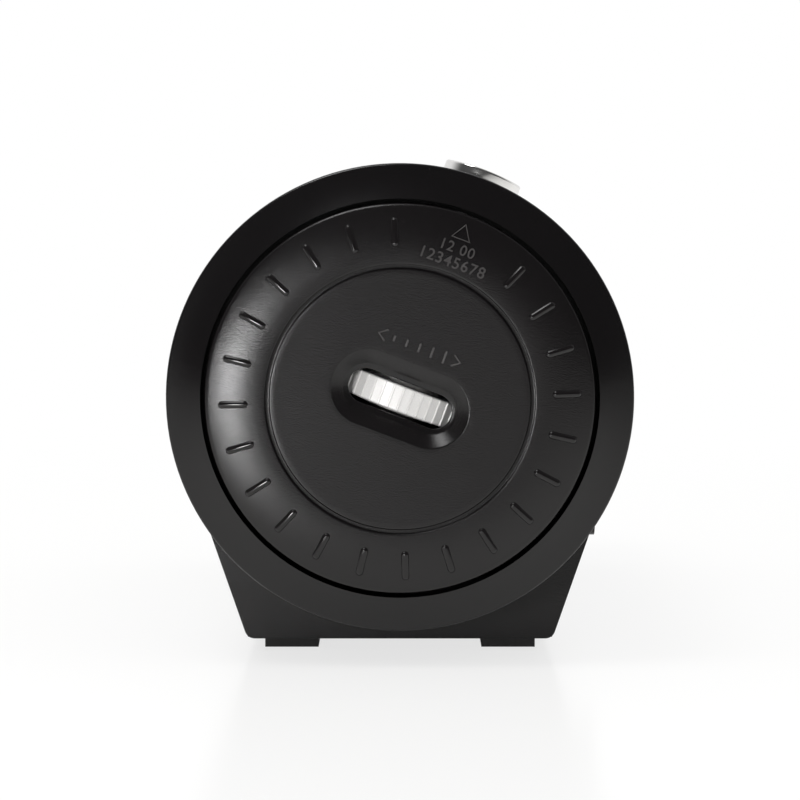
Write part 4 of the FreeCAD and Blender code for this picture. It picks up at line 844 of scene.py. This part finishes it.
@dataclass
class LensBezel:
    """The bright bezel of the projection lens, crowned like the drum, with soft edges and a fine groove."""

    end: ProjectorEnd
    centre_x: float = 79.2
    crown: float = 45.68
    seat: float = 39.656
    flange_top: float = 40.856
    flange: float = 8.6
    outer: float = 7.5
    opening: float = 4.8
    bore: float = 5.6
    window_depth: float = 2.0
    soft: float = 0.45
    soft_steps: int = 5
    crown_skirt: float = 1.35
    groove_radius: float = 6.4
    groove: float = 0.14
    points: int = 128

    def loop(self, out: float, level: float, crowned: bool) -> list[Point]:
        """Return one loop round the lens axis.

        Args:
            out: The loop's distance from the lens axis.
            level: Its place along the lens axis, or its drop under the crown.
            crowned: Whether the level counts from the crown.

        Returns:
            The loop's points in metres.
        """
        matrix = self.end.place()
        points = []
        for index in range(self.points):
            angle = 2 * math.pi * index / self.points
            across = out * math.sin(angle)
            rise = math.sqrt(self.crown ** 2 - across ** 2) - level if crowned else level
            points.append(tuple(matrix @ Vector((self.centre_x + out * math.cos(angle), across, rise))))
        return points

    def build(self) -> None:
        """Build the bezel and let it stand for the CAD bezel."""
        soft = self.soft
        groove = self.groove
        crowned = rounded_profile([
            (self.outer, self.crown_skirt, 0), (self.outer, 0.0, soft), (self.groove_radius + groove, 0.0, 0),
        ], self.soft_steps)
        crowned += [(self.groove_radius + groove / 2, groove), (self.groove_radius - groove / 2, groove)]
        crowned += rounded_profile([
            (self.groove_radius - groove, 0.0, 0), (self.opening, 0.0, soft),
            (self.opening, self.window_depth, 0), (self.bore, self.window_depth, 0),
        ], self.soft_steps)
        low = [(self.bore, self.seat), (self.flange, self.seat), (self.flange, self.flange_top),
               (self.outer, self.flange_top)]
        loops = [self.loop(out, level, True) for out, level in crowned]
        loops += [self.loop(out, level, False) for out, level in low]
        loops.append(loops[0])
        bezel = loop_mesh("lens_bezel_crowned", loops)
        self.end.settle(bezel, "silver", "silver")
        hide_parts("lens_bezel")


@dataclass
class CadFinishes:
    """Dresses the CAD nodes that stay as they are, each in the finish of its record slot."""

    palette: Palette

    def build(self) -> None:
        """Dress every CAD node."""
        slots = {entry["node"]: entry["material_slot"] for entry in frame["record"]["subparts"]}
        for name, node in frame["nodes"].items():
            self.palette.dress_node(node, slots[name])
        LOG.info("dressed %d nodes", len(slots))


@dataclass(frozen=True)
class Softbox:
    """One soft rectangular lamp: its place, aim and size in metres, and its power in watts."""

    name: str
    place: Point
    aim: Point
    size: tuple[float, float]
    power: float

    def build(self) -> None:
        """Hang the lamp."""
        data = bpy.data.lights.new(self.name, "AREA")
        data.shape = "RECTANGLE"
        data.size, data.size_y = self.size
        data.energy = self.power
        lamp = bpy.data.objects.new(self.name, data)
        lamp.location = self.place
        lamp.rotation_euler = (Vector(self.aim) - Vector(self.place)).to_track_quat("-Z", "Y").to_euler()
        bpy.context.scene.collection.objects.link(lamp)


@dataclass
class Studio:
    """The pale floor, the backdrop, the soft lamps and the photograph's camera."""

    camera_place: Point = (0.735, 0.0, 0.0918)
    camera_pitch: float = 3.67
    lens: float = 155.0
    sensor: float = 36.0
    near_clip: float = 0.01
    ambient: float = 0.95
    glossy_front: float = 0.07
    glossy_back: float = 0.90
    glossy_front_edge: float = 0.35
    glossy_back_edge: float = -0.55
    floor_colour: Colour = (0.95, 0.95, 0.93)
    floor_roughness: float = 0.18
    floor_half: float = 40.0
    floor_veil: float = 0.74
    floor_near: float = 0.14
    floor_far: float = 0.50
    lamps: tuple[Softbox, ...] = (
        Softbox("left_softbox", (1.05, -0.43, 0.00), (0.09, 0.0, 0.055), (0.20, 0.26), 7.5),
        Softbox("top_softbox", (0.28, -0.25, 0.90), (0.09, 0.0, 0.05), (0.35, 0.35), 2.6),
    )

    def camera(self) -> None:
        """Place the camera where the photograph was taken from."""
        data = bpy.data.cameras.new("photo_camera")
        data.lens = self.lens
        data.sensor_width = self.sensor
        data.clip_start = self.near_clip
        camera = bpy.data.objects.new("photo_camera", data)
        bpy.context.scene.collection.objects.link(camera)
        pitch = math.radians(self.camera_pitch)
        forward = Vector((-math.cos(pitch), 0.0, -math.sin(pitch)))
        turn = forward.to_track_quat("-Z", "Y").to_matrix().to_4x4()
        camera.matrix_world = Matrix.Translation(self.camera_place) @ turn
        bpy.context.scene.camera = camera

    def world(self) -> None:
        """Light the scene evenly, white for the camera and glass, and a grey ramp along X for gloss."""
        world = bpy.data.worlds.new("studio")
        world.use_nodes = True
        bpy.context.scene.world = world
        desk = NodeDesk(world.node_tree)
        paper = world.node_tree.nodes["Background"]
        out = world.node_tree.nodes["World Output"]
        paper.inputs["Color"].default_value = WHITE
        paper.inputs["Strength"].default_value = 1.0
        soft = desk.add("ShaderNodeBackground")
        soft.inputs["Color"].default_value = WHITE
        soft.inputs["Strength"].default_value = self.ambient
        room = desk.add("ShaderNodeBackground")
        room.inputs["Color"].default_value = WHITE
        place = desk.add("ShaderNodeTexCoord").outputs["Generated"]
        split = desk.add("ShaderNodeSeparateXYZ")
        desk.join(place, split.inputs[0])
        ramp = desk.add("ShaderNodeMapRange", interpolation_type="SMOOTHSTEP")
        desk.join(split.outputs["X"], ramp.inputs["Value"])
        ramp.inputs["From Min"].default_value = self.glossy_front_edge
        ramp.inputs["From Max"].default_value = self.glossy_back_edge
        ramp.inputs["To Min"].default_value = self.glossy_front
        ramp.inputs["To Max"].default_value = self.glossy_back
        desk.join(ramp.outputs["Result"], room.inputs["Strength"])
        path = desk.add("ShaderNodeLightPath")
        seen = desk.maths("MAXIMUM", path.outputs["Is Camera Ray"], path.outputs["Is Transmission Ray"])
        glossy = desk.add("ShaderNodeMixShader")
        desk.join(path.outputs["Is Glossy Ray"], glossy.inputs[0])
        desk.join(soft.outputs[0], glossy.inputs[1])
        desk.join(room.outputs[0], glossy.inputs[2])
        whole = desk.add("ShaderNodeMixShader")
        desk.join(seen, whole.inputs[0])
        desk.join(glossy.outputs[0], whole.inputs[1])
        desk.join(paper.outputs[0], whole.inputs[2])
        desk.join(whole.outputs[0], out.inputs["Surface"])

    def floor(self) -> None:
        """Lay the pale glossy floor, which turns plain white far out for the camera and keeps the shadow."""
        half = self.floor_half
        mesh = bpy.data.meshes.new("floor")
        corners = [(-half, -half, 0), (half, -half, 0), (half, half, 0), (-half, half, 0)]
        mesh.from_pydata(corners, [], [(0, 1, 2, 3)])
        floor = bpy.data.objects.new("floor", mesh)
        bpy.context.scene.collection.objects.link(floor)
        material = bpy.data.materials.new("studio_floor")
        material.use_nodes = True
        shader = material.node_tree.nodes["Principled BSDF"]
        shader.inputs["Base Color"].default_value = (*self.floor_colour, 1.0)
        shader.inputs["Roughness"].default_value = self.floor_roughness
        desk = NodeDesk(material.node_tree)
        paper = desk.add("ShaderNodeEmission")
        place = desk.add("ShaderNodeTexCoord").outputs["Object"]
        reach = desk.add("ShaderNodeVectorMath", operation="LENGTH")
        desk.join(place, reach.inputs[0])
        fade = desk.add("ShaderNodeMapRange", interpolation_type="SMOOTHSTEP")
        desk.join(reach.outputs["Value"], fade.inputs["Value"])
        fade.inputs["From Min"].default_value = self.floor_near
        fade.inputs["From Max"].default_value = self.floor_far
        fade.inputs["To Min"].default_value = self.floor_veil
        fade.inputs["To Max"].default_value = 1.0
        seen = desk.maths("MULTIPLY", desk.add("ShaderNodeLightPath").outputs["Is Camera Ray"],
                          fade.outputs["Result"])
        mix = desk.add("ShaderNodeMixShader")
        desk.join(seen, mix.inputs[0])
        desk.join(shader.outputs[0], mix.inputs[1])
        desk.join(paper.outputs[0], mix.inputs[2])
        desk.join(mix.outputs[0], material.node_tree.nodes["Material Output"].inputs["Surface"])
        mesh.materials.append(material)

    def build(self) -> None:
        """Build the camera, the world, the lamps and the floor."""
        self.camera()
        self.world()
        self.floor()
        for lamp in self.lamps:
            lamp.build()
        bpy.context.scene.view_settings.view_transform = "Standard"


def main() -> None:
    """Build the clock's looks in order."""
    logging.basicConfig(level=logging.INFO, format="%(message)s")
    palette = Palette()
    CadFinishes(palette).build()
    end = ProjectorEnd(palette)
    end.build()
    CoverMarks(end).build()
    FocusWheel(end).build()
    LensBezel(end).build()
    Studio().build()


if __name__ == "__main__":
    main()
